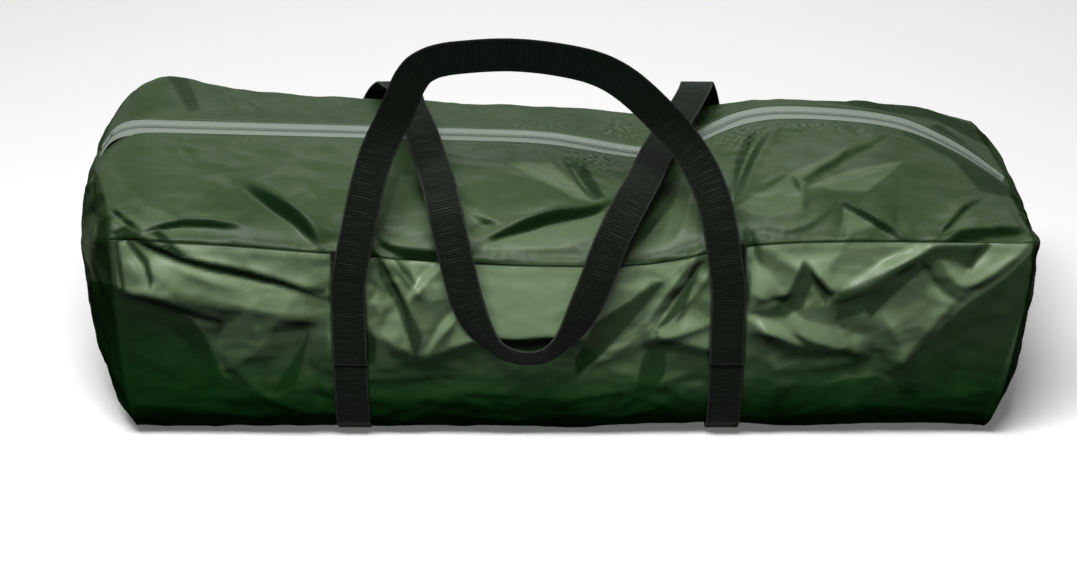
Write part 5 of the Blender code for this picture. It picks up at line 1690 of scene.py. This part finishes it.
def sheetSection(low, high):
    # Outline of the folded sheet as (y, z) pairs: up the round folds at the back, and down those in front
    layers, points = sheetPack["layers"], sheetPack["foldPoints"]
    thick = (high[2] - low[2]) / layers
    outline = []
    for edge, side, order in ((high[1], 1, range(layers)), (low[1], -1, reversed(range(layers)))):
        for k in order:
            z = low[2] + thick * (k + 0.5)
            outline += [(edge - side * 0.5 * thick * (1 - cos(a)), z + side * 0.5 * thick * sin(a))
                        for a in np.linspace(-pi / 2, pi / 2, points)]
    outline = np.array(outline + outline[:1])
    # The wide top and bottom get points of their own, to carry their wrinkles
    shares = np.linspace(0, 1, sheetPack["topPoints"] + 2)[1:-1, None]
    turn = layers * points
    upper = outline[turn - 1] + (outline[turn] - outline[turn - 1]) * shares
    lower = outline[-2] + (outline[-1] - outline[-2]) * shares
    return np.concatenate([outline[:turn], upper, outline[turn:-1], lower])


def makeSheetPack():
    # The groundsheet folded flat, its layers one on another
    low, high = boxOf("groundsheet_bundle", sheetPack["clear"])
    middle = (low + high) / 2
    section = sheetSection(low, high)
    xs = np.linspace(low[0], high[0], sheetPack["columns"])
    near = np.minimum(xs - low[0], high[0] - xs)
    drawn = 1 - sheetPack["drawn"] * np.clip(1 - near / sheetPack["corner"], 0, 1) ** 2
    rings = np.zeros((len(xs), len(section), 3))
    rings[..., 0] = xs[:, None]
    rings[..., 1:] = middle[1:] + (section - middle[1:]) * drawn[:, None, None]
    rings = drawnIn(rings, middle, creaseDepth(rings, 24.0, 6.6, sheetPack["wrinkle"]))
    uvs = pairGrid(xs, np.linspace(0, 0.5, len(section)))
    pack = closedTube("folded_groundsheet", rings, "sheet", uvs, "groundsheet")
    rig.replaces(pack, "groundsheet_bundle")
    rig.padded(pack, fill=0.7)


def makePegBag():
    # A soft pouch with a drawn, hemmed mouth, a little slack between the pegs
    low, high = boxOf("peg_bag", pegPouch["clear"])
    centre, half = (low + high) / 2, (high - low) / 2
    turns = np.linspace(0, 2 * pi, pegPouch["around"], endpoint=False)
    endShare, endPoints = pegPouch["endShare"], pegPouch["endPoints"]
    shares = np.concatenate([
        np.linspace(0, endShare, endPoints),
        np.linspace(endShare, 1 - endShare, pegPouch["sidePoints"])[1:],
        np.linspace(1 - endShare, 1, endPoints)[1:],
    ])
    rings = []
    for share in shares:
        end = min(1.0, min(share, 1 - share) / endShare)
        size = max(sqrt(1 - (1 - end) ** 2), pegPouch["endSize"])
        mouth = np.exp(-((share - pegPouch["mouthShare"]) / pegPouch["mouthWidth"]) ** 2)
        size *= 1 - pegPouch["mouthDepth"] * mouth
        hollow = 1 - pegPouch["slack"] * np.abs(np.sin(2 * turns + 2.5 * share)) * end
        x = low[0] + share * (high[0] - low[0])
        rings.append(ringAt(x, centre, turns, half[1] * size * hollow, half[2] * size * hollow))
    rings = np.array(rings)
    rings = drawnIn(rings, centre, creaseDepth(rings, 60.0, 2.2, pegPouch["wrinkle"]))
    uvs = pairGrid(shares * (high[0] - low[0]), turns * half[2])
    pouch = closedTube("peg_pouch", rings, "canvas", uvs, "canopy_cloth")
    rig.replaces(pouch, "peg_bag")
    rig.padded(pouch, fill=0.5)


makeCanopyRoll()
makeSheetPack()
makePegBag()
carried = {
    # start of a node's name: look and slot
    "pole_section": ("steel", "pole_steel"), "peg_": ("peg", "peg_steel"),
    "canopy_tie": ("webTie", "webbing"),
}
for name, node in nodes.items():
    for start, (look, slotName) in carried.items():
        if name.startswith(start) and name != "peg_bag":
            node.data.materials.clear()
            node.data.materials.append(looks[look])
            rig.slot(node, slotName)
print("contents made")

with open("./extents.json", "w") as out:
    json.dump({"cad": [list(c) for c in cadBox], "visual": [list(c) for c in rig.bounds()]}, out)
